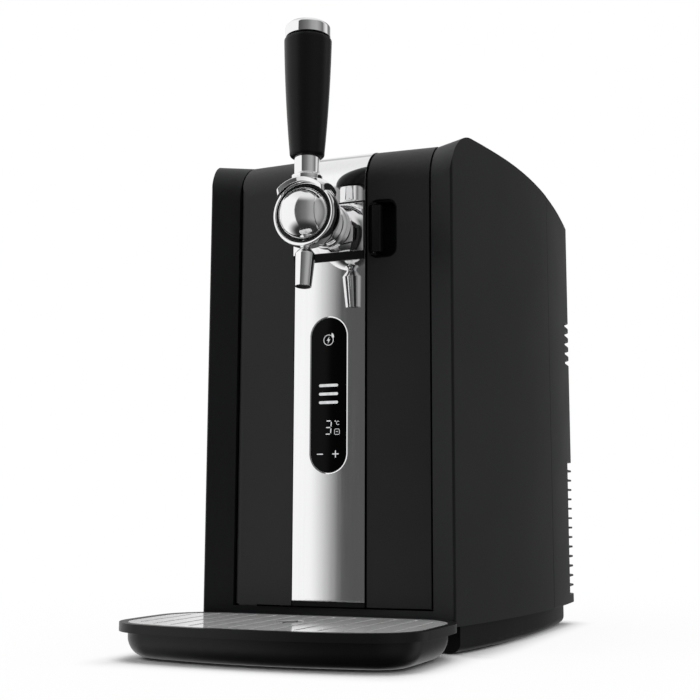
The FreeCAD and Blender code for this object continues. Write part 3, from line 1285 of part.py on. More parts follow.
def tray():
    rimLow = trayTop - rimHeight
    rim = trayPlan("trayRim", 0, rimLow, trayTop)
    bowl = trayPlan("trayBowl", bowlInset, bowlBottom, rimLow)
    bowlSoft = rounded("trayBowlSoft", bowl, bowlRound,
                       lambda edge: edge.BoundBox.ZMax < float(bowlBottom) + 0.01)
    gridBottom = trayTop - 0.2 - gridThick
    seat = trayPlan("traySeat", gridInset - 0.3, gridBottom, trayTop + 1)
    basin = trayPlan("trayBasin", bowlInset + trayWall, bowlBottom + trayWall, gridBottom + 1)
    basinSoft = rounded("trayBasinSoft", basin, bowlRound - trayWall,
                        lambda edge: edge.BoundBox.ZMax < float(bowlBottom + trayWall) + 0.01)
    boreHalf = tongueWidth / 2 + fitGap
    sleeveHalf = tongueWidth / 2 + sleeveWall
    tongueLow = bowlBottom + tongueRise
    sleeves = []
    tunnels = []
    for index, x in enumerate((-tongueSpread, tongueSpread)):
        sleeves.append(box(f"sleeve{index}", (x - sleeveHalf, x + sleeveHalf),
                           (depth(-tongueReach - sleeveWall), depth(-trayClear - bowlInset)),
                           (tongueLow - 4, tongueLow + tongueHeight + 3)))
        tunnels.append(box(f"sleeveBore{index}", (x - boreHalf, x + boreHalf),
                           (depth(-tongueReach - 0.5), depth(20)),
                           (tongueLow - 0.1, tongueLow + tongueHeight + fitGap)))
    hollowed = cut("trayHollowed", fuse("traySolid", [rim, bowlSoft]), [seat, basinSoft])
    node("drip_tray", cut("dripTray", fuse("traySleeved", [hollowed] + sleeves), tunnels))

    plate = trayPlan("gridPlate", gridInset, gridBottom, gridBottom + gridThick)
    throughLow = gridBottom - 1
    throughHigh = gridBottom + gridThick + 1
    slotZone = trayPlan("slotZone", gridInset + slotMargin, throughLow, throughHigh)
    bars = []
    for index in range(-SLOTS_EACH_SIDE, SLOTS_EACH_SIDE + 1):
        x = slotPitch * index
        bars.append(box(f"gridSlot{index + SLOTS_EACH_SIDE}", (x - slotWidth / 2, x + slotWidth / 2),
                        (depth(-trayReach), depth(-trayClear)), (throughLow, throughHigh)))
    slots = common("gridSlots", [fuse("gridSlotBars", bars), slotZone])
    hole = cylinder("fingerHole", fingerRadius, gridThick + 2, (0, depth(-fingerDepth), throughLow))
    node("tray_grid", cut("trayGrid", plate, [slots, hole]))


# ---------------------------------------------------------------- the whole object

housing()
base()
chamber()
cooling()
plan = doorPlan()
doorSkins(plan)
doorPan(plan)
hinges()
display()
bandPlate()
releaseGrip()
tap()
lever()
tray()
doc.recompute()

faults = [obj.Name for obj in doc.Objects if {"Invalid", "Error"} & set(obj.State)]
for name, obj in nodes.items():
    if obj.Shape.isNull() or not obj.Shape.isValid() or not obj.Shape.Solids:
        faults.append(name)
if faults:
    raise RuntimeError("these objects failed: " + ", ".join(faults))

os.makedirs("parts", exist_ok=True)
for name, obj in nodes.items():
    obj.Shape.exportStep(f"parts/{name}.step")
    box3 = obj.Shape.BoundBox
    print(f"{name:22s} solids {len(obj.Shape.Solids)}  volume {obj.Shape.Volume:10.0f}  "
          f"x {box3.XMin:7.1f} {box3.XMax:7.1f}  y {box3.YMin:7.1f} {box3.YMax:7.1f}  "
          f"z {box3.ZMin:6.1f} {box3.ZMax:6.1f}")
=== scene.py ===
import bpy
import math
import numpy as np
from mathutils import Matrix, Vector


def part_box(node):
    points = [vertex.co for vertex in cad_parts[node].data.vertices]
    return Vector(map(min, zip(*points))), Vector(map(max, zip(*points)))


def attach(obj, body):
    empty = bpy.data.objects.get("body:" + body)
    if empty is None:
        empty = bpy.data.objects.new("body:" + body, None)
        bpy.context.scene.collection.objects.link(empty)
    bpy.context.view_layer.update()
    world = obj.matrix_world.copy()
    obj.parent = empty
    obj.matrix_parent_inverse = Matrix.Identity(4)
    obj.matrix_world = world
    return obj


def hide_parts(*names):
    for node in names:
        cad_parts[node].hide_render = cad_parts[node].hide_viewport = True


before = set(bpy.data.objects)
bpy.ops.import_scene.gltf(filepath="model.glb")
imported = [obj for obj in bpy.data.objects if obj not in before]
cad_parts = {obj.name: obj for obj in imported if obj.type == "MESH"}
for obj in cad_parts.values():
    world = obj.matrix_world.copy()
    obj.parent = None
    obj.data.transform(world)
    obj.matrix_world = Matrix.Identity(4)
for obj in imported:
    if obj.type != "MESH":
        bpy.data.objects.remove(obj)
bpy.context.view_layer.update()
mm = 0.001
print("frame loaded:", len(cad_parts), "nodes")


def boxOf(node):
    # lowest and highest corner of a solid at rest, in millimetres
    low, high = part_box(node)
    return np.array(low) / mm, np.array(high) / mm


def meshPiece(name, points, faces, smooth):
    # points: one row for each vertex, in metres; faces: rows of vertex numbers
    mesh = bpy.data.meshes.new(name)
    mesh.from_pydata(np.asarray(points, float).tolist(), [], faces)
    mesh.polygons.foreach_set("use_smooth", np.full(len(mesh.polygons), smooth))
    mesh.validate()
    piece = bpy.data.objects.new(name, mesh)
    bpy.context.scene.collection.objects.link(piece)
    return piece


def gridFaces(rows, columns, aroundRows=False, aroundColumns=False):
    # quads between neighbouring rows and columns; a closed direction joins its last line to its first
    lastRow = rows if aroundRows else rows - 1
    lastColumn = columns if aroundColumns else columns - 1
    row, column = np.meshgrid(np.arange(lastRow), np.arange(lastColumn), indexing="ij")
    nextRow = (row + 1) % rows
    nextColumn = (column + 1) % columns
    quads = np.stack([row * columns + column, row * columns + nextColumn,
                      nextRow * columns + nextColumn, nextRow * columns + column], axis=-1)
    return quads.reshape(-1, 4)


def joinGrids(name, grids, smooth=True):
    # several grids (points, closed rows, closed columns) become one piece, welded where they meet
    allPoints, allFaces, start = [], [], 0
    for points, aroundRows, aroundColumns in grids:
        rows, columns = points.shape[:2]
        allFaces.append(gridFaces(rows, columns, aroundRows, aroundColumns) + start)
        allPoints.append(points.reshape(-1, 3))
        start += rows * columns
    points = np.concatenate(allPoints)
    faces = np.concatenate(allFaces)
    keys = np.round(points / 1e-6).astype(np.int64)
    _, first, inverse = np.unique(keys, axis=0, return_index=True, return_inverse=True)
    faces = inverse.reshape(-1)[faces]
    # a quad with one shrunken side becomes a triangle, and one with more is left out
    shrunken = faces == np.roll(faces, -1, axis=1)
    sides = shrunken.sum(axis=1) + (faces[:, 0] == faces[:, 2]) + (faces[:, 1] == faces[:, 3])
    faceList = faces[sides == 0].tolist()
    for side in range(4):
        kept = [corner for corner in range(4) if corner != side]
        faceList += faces[(sides == 1) & shrunken[:, side]][:, kept].tolist()
    return meshPiece(name, points[first], faceList, smooth)


def softLine(corners, steps):
    # a line through corners (a, b, radius), each corner replaced by an arc that touches both sides
    corners = np.array([(c[0], c[1], c[2] if len(c) > 2 else 0) for c in corners], float)
    out = [corners[0, :2]]
    for before, corner, after in zip(corners[:-2], corners[1:-1], corners[2:]):
        radius = corner[2]
        if radius <= 0:
            out.append(corner[:2])
            continue
        toBefore = (before - corner)[:2] / np.linalg.norm((before - corner)[:2])
        toAfter = (after - corner)[:2] / np.linalg.norm((after - corner)[:2])
        half = np.arccos(np.clip(toBefore @ toAfter, -1, 1)) / 2
        reach = radius / np.tan(half)
        inward = (toBefore + toAfter) / np.linalg.norm(toBefore + toAfter)
        centre = corner[:2] + inward * radius / np.sin(half)
        a = corner[:2] + toBefore * reach - centre
        b = corner[:2] + toAfter * reach - centre
        turn = np.arctan2(a[0] * b[1] - a[1] * b[0], a @ b)
        angles = np.linspace(0, turn, steps + 1)
        out.extend(np.stack([centre[0] + a[0] * np.cos(angles) - a[1] * np.sin(angles),
                             centre[1] + a[0] * np.sin(angles) + a[1] * np.cos(angles)], axis=-1))
    out.append(corners[-1, :2])
    return np.array(out)


def turned(profile, centre, axis, steps):
    # a profile of (radius, distance along the axis) carried round the axis through centre
    angles = np.linspace(0, 2 * np.pi, steps, endpoint=False)
    radius = profile[:, None, 0]
    along = profile[:, None, 1] + 0 * angles[None]
    u = radius * np.cos(angles)
    v = radius * np.sin(angles)
    order = {"Z": (u, v, along), "Y": (v, along, u), "X": (along, u, v)}[axis]
    return (np.stack(order, axis=-1) + np.array(centre)) * mm


def arc(radius, start, end, steps):
    # (radius from the axis, distance along it) on a sphere, by the angle from the axis in degrees
    angle = np.radians(np.linspace(start, end, steps))
    return np.stack([radius * np.sin(angle), radius * np.cos(angle)], axis=-1)


def placed(x, y, z):
    # points in metres from coordinates in mm, each of them a grid, a line or one number
    return np.stack(np.broadcast_arrays(x, y, z), axis=-1) * mm


def carried(outline, outward, profile, level):
    # a profile of (out, forward) carried along a closed upright outline with its outward directions
    x = outline[:, None, 0] + outward[:, None, 0] * profile[None, :, 0]
    z = outline[:, None, 1] + outward[:, None, 1] * profile[None, :, 0]
    return placed(x, level + profile[None, :, 1], z)


def roundedOutline(left, right, low, high, radius, steps):
    # a rectangle with quarter-circle corners, anticlockwise, and its outward directions
    centres = np.array([(right - radius, high - radius), (left + radius, high - radius),
                        (left + radius, low + radius), (right - radius, low + radius)])
    angles = np.linspace(0, np.pi / 2, steps)[None] + np.arange(4)[:, None] * np.pi / 2
    outward = np.stack([np.cos(angles), np.sin(angles)], axis=-1)
    outline = centres[:, None] + radius * outward
    return outline.reshape(-1, 2), outward.reshape(-1, 2)


def roundEnded(half, low, high, steps):
    # an upright outline with half circles for ends, just short of them so that no two points meet
    return roundedOutline(-half, half, low, high, half - 0.001, steps)


def addModifier(piece, kind, name, **values):
    modifier = piece.modifiers.new(name, kind)
    for key, value in values.items():
        setattr(modifier, key, value)


def softEdges(piece, width, angle):
    # edges sharper than the angle, in degrees, are rounded off by the width in mm
    addModifier(piece, "BEVEL", "soft edges", width=width * mm, segments=3, limit_method="ANGLE",
                angle_limit=math.radians(angle), harden_normals=True)


def newMaterial(name):
    material = bpy.data.materials.new(name)
    material.use_nodes = True
    tree = material.node_tree
    tree.nodes.clear()
    output = tree.nodes.new("ShaderNodeOutputMaterial")
    return material, tree, output


def addNode(tree, kind, inputs=None, **settings):
    node = tree.nodes.new(kind)
    for key, value in settings.items():
        setattr(node, key, value)
    for key, value in (inputs or {}).items():
        if isinstance(value, bpy.types.NodeSocket):
            tree.links.new(value, node.inputs[key])
        else:
            node.inputs[key].default_value = value
    return node


def calc(tree, operation, *values):
    return addNode(tree, "ShaderNodeMath", dict(enumerate(values)), operation=operation).outputs[0]


def calcVector(tree, operation, *values):
    return addNode(tree, "ShaderNodeVectorMath", dict(enumerate(values)), operation=operation).outputs


def mixed(tree, share, first, second):
    # share 0 shows the first shader, 1 the second
    return addNode(tree, "ShaderNodeMixShader", {0: share, 1: first, 2: second}).outputs[0]


def mapped(tree, value, low, high, least=0.0, most=1.0, **settings):
    # value from low to high becomes least to most, and stays there beyond
    inputs = {"Value": value, "From Min": low, "From Max": high, "To Min": least, "To Max": most}
    return addNode(tree, "ShaderNodeMapRange", inputs, **settings).outputs["Result"]


def grain(tree, scale, detail, rough=0.55, stretch=(1, 1, 1)):
    # a noise over the object's own coordinates, stretched along an axis where the finish runs that way
    coords = addNode(tree, "ShaderNodeTexCoord")
    mapping = addNode(tree, "ShaderNodeMapping", {"Vector": coords.outputs["Object"],
                                                  "Scale": stretch})
    return addNode(tree, "ShaderNodeTexNoise", {"Vector": mapping.outputs["Vector"], "Scale": scale,
                                                "Detail": detail, "Roughness": rough}).outputs["Fac"]


def spread(tree, value, low, high):
    # the middle of a noise, where most of it lies, becomes low to high
    return mapped(tree, value, 0.3, 0.7, low, high)


def tints(tree, value, dark, light):
    ramp = addNode(tree, "ShaderNodeValToRGB", {"Fac": value})
    ramp.color_ramp.elements[0].position = 0.3
    ramp.color_ramp.elements[0].color = (*dark, 1)
    ramp.color_ramp.elements[1].position = 0.7
    ramp.color_ramp.elements[1].color = (*light, 1)
    return ramp.outputs["Color"]


def moulded(name, tint, rough=0.5, texture=0.02, specular=0.25, textureScale=1400.0):
    # eroded mould texture, with a faint drift of tint and gloss over the whole face
    material, tree, output = newMaterial(name)
    fine = grain(tree, textureScale, 4.0, 0.6)
    wide = grain(tree, 9.0, 2.0)
    dark = [channel * 0.93 for channel in tint]
    light = [channel * 1.07 for channel in tint]
    bump = addNode(tree, "ShaderNodeBump", {"Height": fine, "Strength": 0.35,
                                            "Distance": texture * mm})
    shader = addNode(tree, "ShaderNodeBsdfPrincipled", {
        "Base Color": tints(tree, wide, dark, light),
        "Roughness": spread(tree, wide, rough - 0.03, rough + 0.03),
        "Specular IOR Level": specular,
        "Normal": bump.outputs["Normal"]})
    tree.links.new(shader.outputs["BSDF"], output.inputs["Surface"])
    return material


def metal(name, tint, rough=0.05, spreadBy=0.02, stretch=(1, 1, 1), scale=60.0, ripple=0.0, share=1.0):
    # polished or brushed metal: faint polishing marks in the gloss and in the tint
    material, tree, output = newMaterial(name)
    marks = grain(tree, scale, 4.0, 0.6, stretch)
    dark = [channel * 0.96 for channel in tint]
    shader = addNode(tree, "ShaderNodeBsdfPrincipled", {
        "Base Color": tints(tree, marks, dark, tint),
        "Roughness": spread(tree, marks, max(rough - spreadBy, 0.01), rough + spreadBy),
        "Metallic": share})
    if ripple:
        bump = addNode(tree, "ShaderNodeBump", {"Height": marks, "Strength": 0.3,
                                                "Distance": ripple * mm})
        tree.links.new(bump.outputs["Normal"], shader.inputs["Normal"])
    tree.links.new(shader.outputs["BSDF"], output.inputs["Surface"])
    return material


charcoalPlastic = moulded("charcoal plastic", (0.0108, 0.0113, 0.0122), rough=0.46, specular=0.22)
panelPlastic = moulded("door panel plastic", (0.0145, 0.0144, 0.0150), rough=0.48, specular=0.34)
darkPlastic = moulded("dark plastic", (0.008, 0.008, 0.0085), rough=0.5, specular=0.12)
trayPlastic = moulded("tray plastic", (0.0095, 0.0094, 0.0102), rough=0.36, specular=0.22)
gripPlastic = moulded("grip plastic", (0.0085, 0.0085, 0.009), rough=0.36, texture=0.01, specular=0.16)
linerPlastic = moulded("liner plastic", (0.42, 0.43, 0.44), rough=0.35, specular=0.5)
foamMaterial = moulded("rigid foam", (0.72, 0.68, 0.55), rough=0.85, texture=0.5, specular=0.2,
                       textureScale=700.0)
footRubber = moulded("foot rubber", (0.02, 0.02, 0.02), rough=0.7, texture=0.05, specular=0.3)
gasketRubber = moulded("gasket rubber", (0.035, 0.035, 0.036), rough=0.6, specular=0.3)
ceramic = moulded("ceramic plate", (0.8, 0.8, 0.77), rough=0.25, specular=0.5)
mirrorSteel = metal("polished steel", (0.93, 0.93, 0.935), rough=0.035, spreadBy=0.012,
                    stretch=(40, 40, 1), scale=8.0)
gridSteel = metal("grid steel", (0.93, 0.93, 0.93), rough=0.12, spreadBy=0.03,
                  stretch=(1, 30, 1), scale=20.0, share=0.3)
tapChrome = metal("tap chrome", (0.92, 0.92, 0.925), rough=0.04, spreadBy=0.012)
ballChrome = metal("ball chrome", (0.92, 0.92, 0.92), rough=0.11, spreadBy=0.02)
blackSteel = metal("blackened steel", (0.05, 0.05, 0.052), rough=0.4, spreadBy=0.08,
                   scale=200.0, ripple=0.02)
zincSteel = metal("zinc plated steel", (0.58, 0.58, 0.6), rough=0.3, spreadBy=0.08,
                  scale=200.0, ripple=0.02)
aluminium = metal("extruded aluminium", (0.7, 0.71, 0.72), rough=0.32, spreadBy=0.08,
                  stretch=(1, 1, 0.02), scale=300.0, ripple=0.02)


def boardMaterial():
    # solder mask with copper tracks that show through as lighter lines
    material, tree, output = newMaterial("circuit board")
    coords = addNode(tree, "ShaderNodeTexCoord")
    tracks = addNode(tree, "ShaderNodeTexBrick", {"Vector": coords.outputs["Object"], "Scale": 120.0,
                                                  "Mortar Size": 0.04, "Color1": (0.01, 0.09, 0.03, 1),
                                                  "Color2": (0.012, 0.11, 0.04, 1),
                                                  "Mortar": (0.05, 0.2, 0.08, 1)})
    shader = addNode(tree, "ShaderNodeBsdfPrincipled", {"Base Color": tracks.outputs["Color"],
                                                        "Roughness": 0.25})
    tree.links.new(shader.outputs["BSDF"], output.inputs["Surface"])
    return material


def glassMaterial():
    # black printed glass: a clear gloss over a deep black, with the least trace of wiping marks
    material, tree, output = newMaterial("display glass")
    wipe = grain(tree, 40.0, 2.0, 0.5, (1, 1, 0.3))
    shader = addNode(tree, "ShaderNodeBsdfPrincipled", {
        "Base Color": tints(tree, wipe, (0.0012, 0.0012, 0.0012), (0.002, 0.002, 0.002)),
        "Roughness": spread(tree, wipe, 0.05, 0.09),
        "Specular IOR Level": 0.07})
    tree.links.new(shader.outputs["BSDF"], output.inputs["Surface"])
    return material


def signMaterial():
    # lit symbols, a little brighter in their middle
    material, tree, output = newMaterial("lit symbols")
    glow = grain(tree, 300.0, 1.0)
    shader = addNode(tree, "ShaderNodeEmission", {
        "Color": tints(tree, glow, (0.6, 0.61, 0.62), (0.75, 0.76, 0.77)), "Strength": 1.0})
    tree.links.new(shader.outputs["Emission"], output.inputs["Surface"])
    return material


boardGreen = boardMaterial()
displayGlass = glassMaterial()
litSymbols = signMaterial()


def dress(piece, material, body=None, stands=()):
    # material, CAD body and the solids that the piece stands for
    piece.data.materials.clear()
    piece.data.materials.append(material)
    if body:
        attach(piece, body)
    if stands:
        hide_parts(*stands)
    return piece


# each solid that stays: its material and, where it isn't 0, the width of its softened edges in mm
keptNodes = {
    "front_housing": (charcoalPlastic, 1.0), "rear_housing": (charcoalPlastic, 0.5),
    "base": (darkPlastic, 0.6), "rubber_feet": (footRubber, 0.6),
    "keg_chamber": (linerPlastic, 0.0), "chamber_insulation": (foamMaterial, 0.0),
    "keg_seat": (darkPlastic, 0.5), "keg_coupler": (darkPlastic, 0.5),
    "cold_plate": (aluminium, 0.3), "cooling_module": (ceramic, 0.2), "heat_sink": (aluminium, 0.2),
    "fan_frame": (darkPlastic, 0.4), "fan_impeller": (darkPlastic, 0.3),
    "power_supply": (zincSteel, 0.4), "air_pump": (darkPlastic, 0.5),
    "control_board": (boardGreen, 0.0), "mains_inlet": (darkPlastic, 0.3),
    "hinge_lower": (blackSteel, 0.2), "hinge_upper": (blackSteel, 0.2),
    "door_panel_left": (panelPlastic, 0.5), "door_panel_right": (panelPlastic, 0.5),
    "door_pan": (darkPlastic, 0.3), "door_insulation": (foamMaterial, 0.0),
    "door_liner": (linerPlastic, 0.5), "door_gasket": (gasketRubber, 0.4),
    "display_board": (boardGreen, 0.0), "band_carrier": (darkPlastic, 0.2),
    "recess_cup": (darkPlastic, 0.0), "release_pin": (zincSteel, 0.0),
    "release_grip": (gripPlastic, 0.5), "beer_tube": (zincSteel, 0.2), "tap_nut": (zincSteel, 0.3),
    "drip_tray": (trayPlastic, 0.5), "tray_grid": (gridSteel, 0.25),
}
for name, (material, width) in keptNodes.items():
    node = dress(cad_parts[name], material)
    if width:
        addModifier(node, "WELD", "joined faces", merge_threshold=0.01 * mm)
        addModifier(node, "BEVEL", "soft edges", width=width * mm, segments=2, limit_method="ANGLE",
                    angle_limit=math.radians(30))
        addModifier(node, "WEIGHTED_NORMAL", "even faces", mode="FACE_AREA", weight=80)
print("kept solids finished:", len(keptNodes))


tapLow, tapHigh = boxOf("tap_housing")
ballLow, ballHigh = boxOf("tap_ball")
neckLow, neckHigh = boxOf("tap_neck")
gripLow, gripHigh = boxOf("lever_grip")
globe = (tapHigh[0] - tapLow[0]) / 2
tapCentre = (0.0, (gripLow[1] + gripHigh[1]) / 2, tapLow[2] + globe)
tap = {"globe": globe, "ball": tapCentre[2] - ballLow[2], "face": tapCentre[1] - tapLow[1],
       "plate": neckHigh[1] - tapCentre[1], "proud": 1.1, "clear": 2.2}
tap["pocket"] = tap["ball"] + tap["clear"]
tap["mouth"] = math.sqrt(tap["globe"] ** 2 - tap["face"] ** 2)
rim = {"inset": 0.2, "round": 0.9, "width": 2.3, "lip": 0.4, "slope": 0.2, "drop": 2.0, "foot": 0.3,
       "depth": 4.0, "blend": 3.0}


def bearing(reach, radius):
    # angle from the axis, in degrees, of the circle of a sphere at this reach along the axis
    return np.degrees(np.arccos(reach / radius))


def tapHousing():
    # a spherical shell open to the front: outer sphere, round outer edge, narrow flat ring, inner wall
    face = tap["face"]
    outer = arc(tap["globe"], 180, bearing(face, tap["globe"]) + rim["blend"], 70)
    inner = arc(tap["pocket"], bearing(face - rim["depth"], tap["pocket"]) + rim["blend"], 180, 54)
    edge = tap["mouth"] - rim["inset"]
    lip = edge - rim["width"]
    ring = softLine([tuple(outer[-1]), (edge, face, rim["round"]), (lip, face, rim["lip"]),
                     (lip - rim["slope"], face - rim["drop"], rim["foot"]), tuple(inner[0])], 8)
    profile = np.concatenate([outer[:-1], ring, inner[1:]])
    points = turned(profile[::-1] * (1, -1), tapCentre, "Y", 128)
    return joinGrids("tapHousing", [(points, False, True)])


# measures of the black ring and cup that paint the shade in the gap round the ball
gapShade = {"clear": 0.15, "lip": 2.75, "back": 1.3, "ballGap": 0.25, "thick": 0.5, "start": 1.5,
        "end": 150, "overlap": 1.0, "innerDepth": 1.0, "innerRound": 0.4, "outerDepth": 2.0,
        "outerRound": 0.3}


def tapGapShade():
    # painted shade for the dark gap round the ball: a black ring between the ball and the rim, and the
    # cup behind it that lines the pocket
    outer = tap["pocket"] - gapShade["clear"]
    lip = tap["mouth"] - gapShade["lip"]
    front = tap["face"] - gapShade["back"]
    inner = math.sqrt((tap["ball"] + tap["proud"] + gapShade["ballGap"]) ** 2 - front ** 2)
    start = bearing(gapShade["start"], outer)
    wall = arc(outer, start, gapShade["end"], 40)
    inside = arc(outer - gapShade["thick"], gapShade["end"], start + gapShade["overlap"], 40)
    ring = softLine([(inner, front - gapShade["innerDepth"]), (inner, front, gapShade["innerRound"]),
                     (lip, front, gapShade["outerRound"]), (lip, front - gapShade["outerDepth"])], 5)
    profile = np.concatenate([ring, wall, inside])
    return joinGrids("tapGapShade", [(turned(profile * (1, -1), tapCentre, "Y", 96), True, True)])


ball = {"groove": 14.2, "grooveHalf": 0.7, "grooveDepth": 0.25, "pin": (ballHigh[0] - ballLow[0]) / 2,
        "pinRadius": 3.0, "pinEdge": 0.3}


def tapBall():
    # a sphere about the cross axis, with a fine groove round each bearing disc, and its trunnions
    radius = tap["ball"] + tap["proud"]
    groove, half = bearing(ball["groove"], radius), ball["grooveHalf"]
    end = np.array([(0.0, ball["pin"]), (ball["pinRadius"] - ball["pinEdge"], ball["pin"]),
                    (ball["pinRadius"], ball["pin"] - ball["pinEdge"])])
    cap = arc(radius, np.degrees(np.arcsin(ball["pinRadius"] / radius)), groove - half, 40)
    line = arc(radius - ball["grooveDepth"], groove - half / 2, groove + half / 2, 3)
    middle = arc(radius, groove + half, 180 - groove - half, 110)
    side = np.concatenate([end, cap, line])
    profile = np.concatenate([side, middle, side[::-1] * (1, -1)])
    return joinGrids("tapBall", [(turned(profile[::-1], tapCentre, "X", 160), False, True)])


neck = {"inset": 3.6, "front": 13.5, "back": (neckHigh[0] - neckLow[0]) / 2, "edge": 0.6,
        "edgeRise": 0.2, "straight": 4, "flare": 6, "foot": 2.6, "footStart": 3.0, "footSlope": 2.4,
        "footFlat": 1.2, "footRound": 0.8}


def tapNeck():
    # a bell-shaped neck from the globe to the band plate, with a small foot ring
    start, end = tap["globe"] - neck["inset"], tap["plate"]
    narrow, wide, edge = neck["front"], neck["back"], neck["edge"]
    flare, soft = neck["flare"], neck["footRound"]
    profile = softLine([(0.0, start), (narrow - edge, start + neck["edgeRise"], edge),
                        (narrow, start + neck["straight"], flare),
                        (wide - neck["foot"], end - neck["footStart"], flare),
                        (wide - edge, end - neck["footSlope"], soft),
                        (wide, end - neck["footFlat"], soft), (wide, end), (0.0, end)], 8)
    return joinGrids("tapNeck", [(turned(profile, tapCentre, "Y", 96), False, True)])


tube = {"lean": math.radians(7.0), "inGlobe": 8, "tip": 280.0, "start": 3.0, "startRound": 0.4,
        "throat": 4.2, "throatEnd": 8.6, "throatRound": 2.5, "shoulder": 8.1, "shoulderEnd": 13.4,
        "shoulderRound": 1.6, "radius": 6.5, "tipRound": 0.25, "bore": 6.0, "boreEnd": 16.0,
        "boreRound": 0.15}
tube["rise"] = tapCentre[2] - tap["globe"] + tube["inGlobe"]
tube["length"] = (tube["rise"] - tube["tip"]) / math.cos(tube["lean"])
# measures of the black tube and disc that paint the shade inside the spout's open end
shadeSleeve = {"clear": 0.05, "front": 0.12, "disc": 0.8, "discEdge": 0.4, "thick": 0.3, "back": 3.0}


def leaning(profile, steps):
    # a profile of (radius, distance from the top) turned about the spout's forward leaning axis
    points = turned(profile, (0, 0, 0), "Z", steps)
    sine, cosine = math.sin(tube["lean"]), math.cos(tube["lean"])
    x, y, z = points[..., 0], points[..., 1], -points[..., 2]
    leaned = np.stack([x, y * cosine + z * sine, z * cosine - y * sine], axis=-1)
    return leaned + np.array((0, tapCentre[1], tube["rise"])) * mm


def spout():
    # a tapered tube that flares from a narrow throat under the globe
    throat, length, bore = tube["throat"], tube["length"], tube["bore"]
    profile = softLine([(0.0, tube["start"]), (throat, tube["start"], tube["startRound"]),
                        (throat, tube["throatEnd"], tube["throatRound"]),
                        (tube["shoulder"], tube["shoulderEnd"], tube["shoulderRound"]),
                        (tube["radius"], length, tube["tipRound"]), (bore, length, tube["boreRound"]),
                        (bore, tube["boreEnd"]), (0.0, tube["boreEnd"])], 6)
    return joinGrids("spout", [(leaning(profile, 72)[:, ::-1], False, True)])


def spoutPaintedShade():
    # painted shade in the dark bore: a thin black tube inside the open end, with a disc across it,
    # stands for the shade inside the spout
    outer = tube["bore"] - shadeSleeve["clear"]
    front, disc, back = (tube["length"] - shadeSleeve[key] for key in ("front", "disc", "back"))
    profile = np.array([(0.0, disc), (outer - shadeSleeve["discEdge"], disc),
                        (outer - shadeSleeve["thick"], front), (outer, front), (outer, back), (0.0, back)])
    return joinGrids("spoutPaintedShade", [(leaning(profile, 48), False, True)])


dress(tapHousing(), tapChrome, "door", ["tap_housing"])
# painted shade: the black ring and cup in the gap round the ball
dress(tapGapShade(), gasketRubber, "door")
dress(tapBall(), ballChrome, "lever", ["tap_ball"])
dress(tapNeck(), tapChrome, "door", ["tap_neck"])
dress(spout(), tapChrome, "door", ["spout"])
# painted shade: the black tube and disc in the spout's bore
dress(spoutPaintedShade(), gasketRubber, "door")
print("tap made")


collarLow, collarHigh = boxOf("lever_collar")
capLow, capHigh = boxOf("lever_cap")
lever = {"gap": 0.35, "thick": 3.5, "halfWidth": 20.6, "halfDepth": 14.4, "corner": 3.0}
lever["inside"] = tap["globe"] + lever["gap"]
lever["outside"] = lever["inside"] + lever["thick"]


def saddle():
    # a rounded rectangle in plan: out over the outer sphere, down the edge, back over the inner one;
    # the ends are upright, and the front and back edges lean in towards the middle of the ball
    outline, _ = roundedOutline(-lever["halfWidth"], lever["halfWidth"], -lever["halfDepth"],
                                lever["halfDepth"], lever["corner"], 10)
    closed = np.concatenate([outline, outline[:1]])
    along = np.append(0, np.cumsum(np.linalg.norm(np.diff(closed, axis=0), axis=1)))
    places = np.linspace(0, along[-1], 240, endpoint=False)
    plan = np.stack([np.interp(places, along, closed[:, side]) for side in (0, 1)], axis=-1)
    rings = 30
    share = np.append(np.linspace(0, 1, rings), np.linspace(1, 0, rings))[:, None]
    radius = np.repeat([lever["outside"], lever["inside"]], rings)[:, None]
    x = share * plan[None, :, 0]
    y = share * plan[None, :, 1] * radius / lever["outside"]
    z = np.sqrt(radius ** 2 - x ** 2 - y ** 2)
    points = (np.stack([x, y, z], axis=-1) + np.array(tapCentre)) * mm
    piece = joinGrids("leverSaddle", [(points[::-1], False, True)])
    softEdges(piece, 0.4, 35)
    return piece


shaft = {"radius": 10.0, "sink": 1.2, "under": 0.6, "skirt": 2.4, "skirtDrop": 1.0, "shoulder": 2.2,
         "shoulderRise": 1.6, "shoulderRound": 0.9, "rise": 3.0, "riseRound": 1.4,
         "inGrip": (-0.5, 2.0, 3.0)}


def stem():
    # the upright stem, with a soft foot on the saddle, and its end inside the grip
    radius = shaft["radius"]
    foot = lever["outside"] - shaft["sink"]
    top = gripLow[2] - tapCentre[2]
    end = [(radius, top + beyond) for beyond in shaft["inGrip"]]
    profile = softLine([(0.0, foot - shaft["under"]),
                        (radius + shaft["skirt"], foot - shaft["skirtDrop"]),
                        (radius + shaft["shoulder"], foot + shaft["shoulderRise"],
                         shaft["shoulderRound"]),
                        (radius, foot + shaft["rise"], shaft["riseRound"]), *end,
                        (0.0, end[-1][1])], 6)
    return joinGrids("leverStem", [(turned(profile, tapCentre, "Z", 96), False, True)])


handle = {"neck": 14.0, "top": (gripHigh[0] - gripLow[0]) / 2, "swell": 0.8, "flat": 3.0, "foot": 0.2,
          "footRise": 0.5, "footRound": 3.0, "start": 4.5, "end": 0.8, "edge": 0.25, "chamfer": 0.9,
          "collar": (collarHigh[0] - collarLow[0]) / 2, "overlap": 0.05}
button = {"radius": (capHigh[0] - capLow[0]) / 2, "inset": 0.1, "foot": 0.5, "side": 3.2,
          "shoulder": 3.0, "crownIn": 3.4, "crownDrop": 0.3, "crown": 5.0}


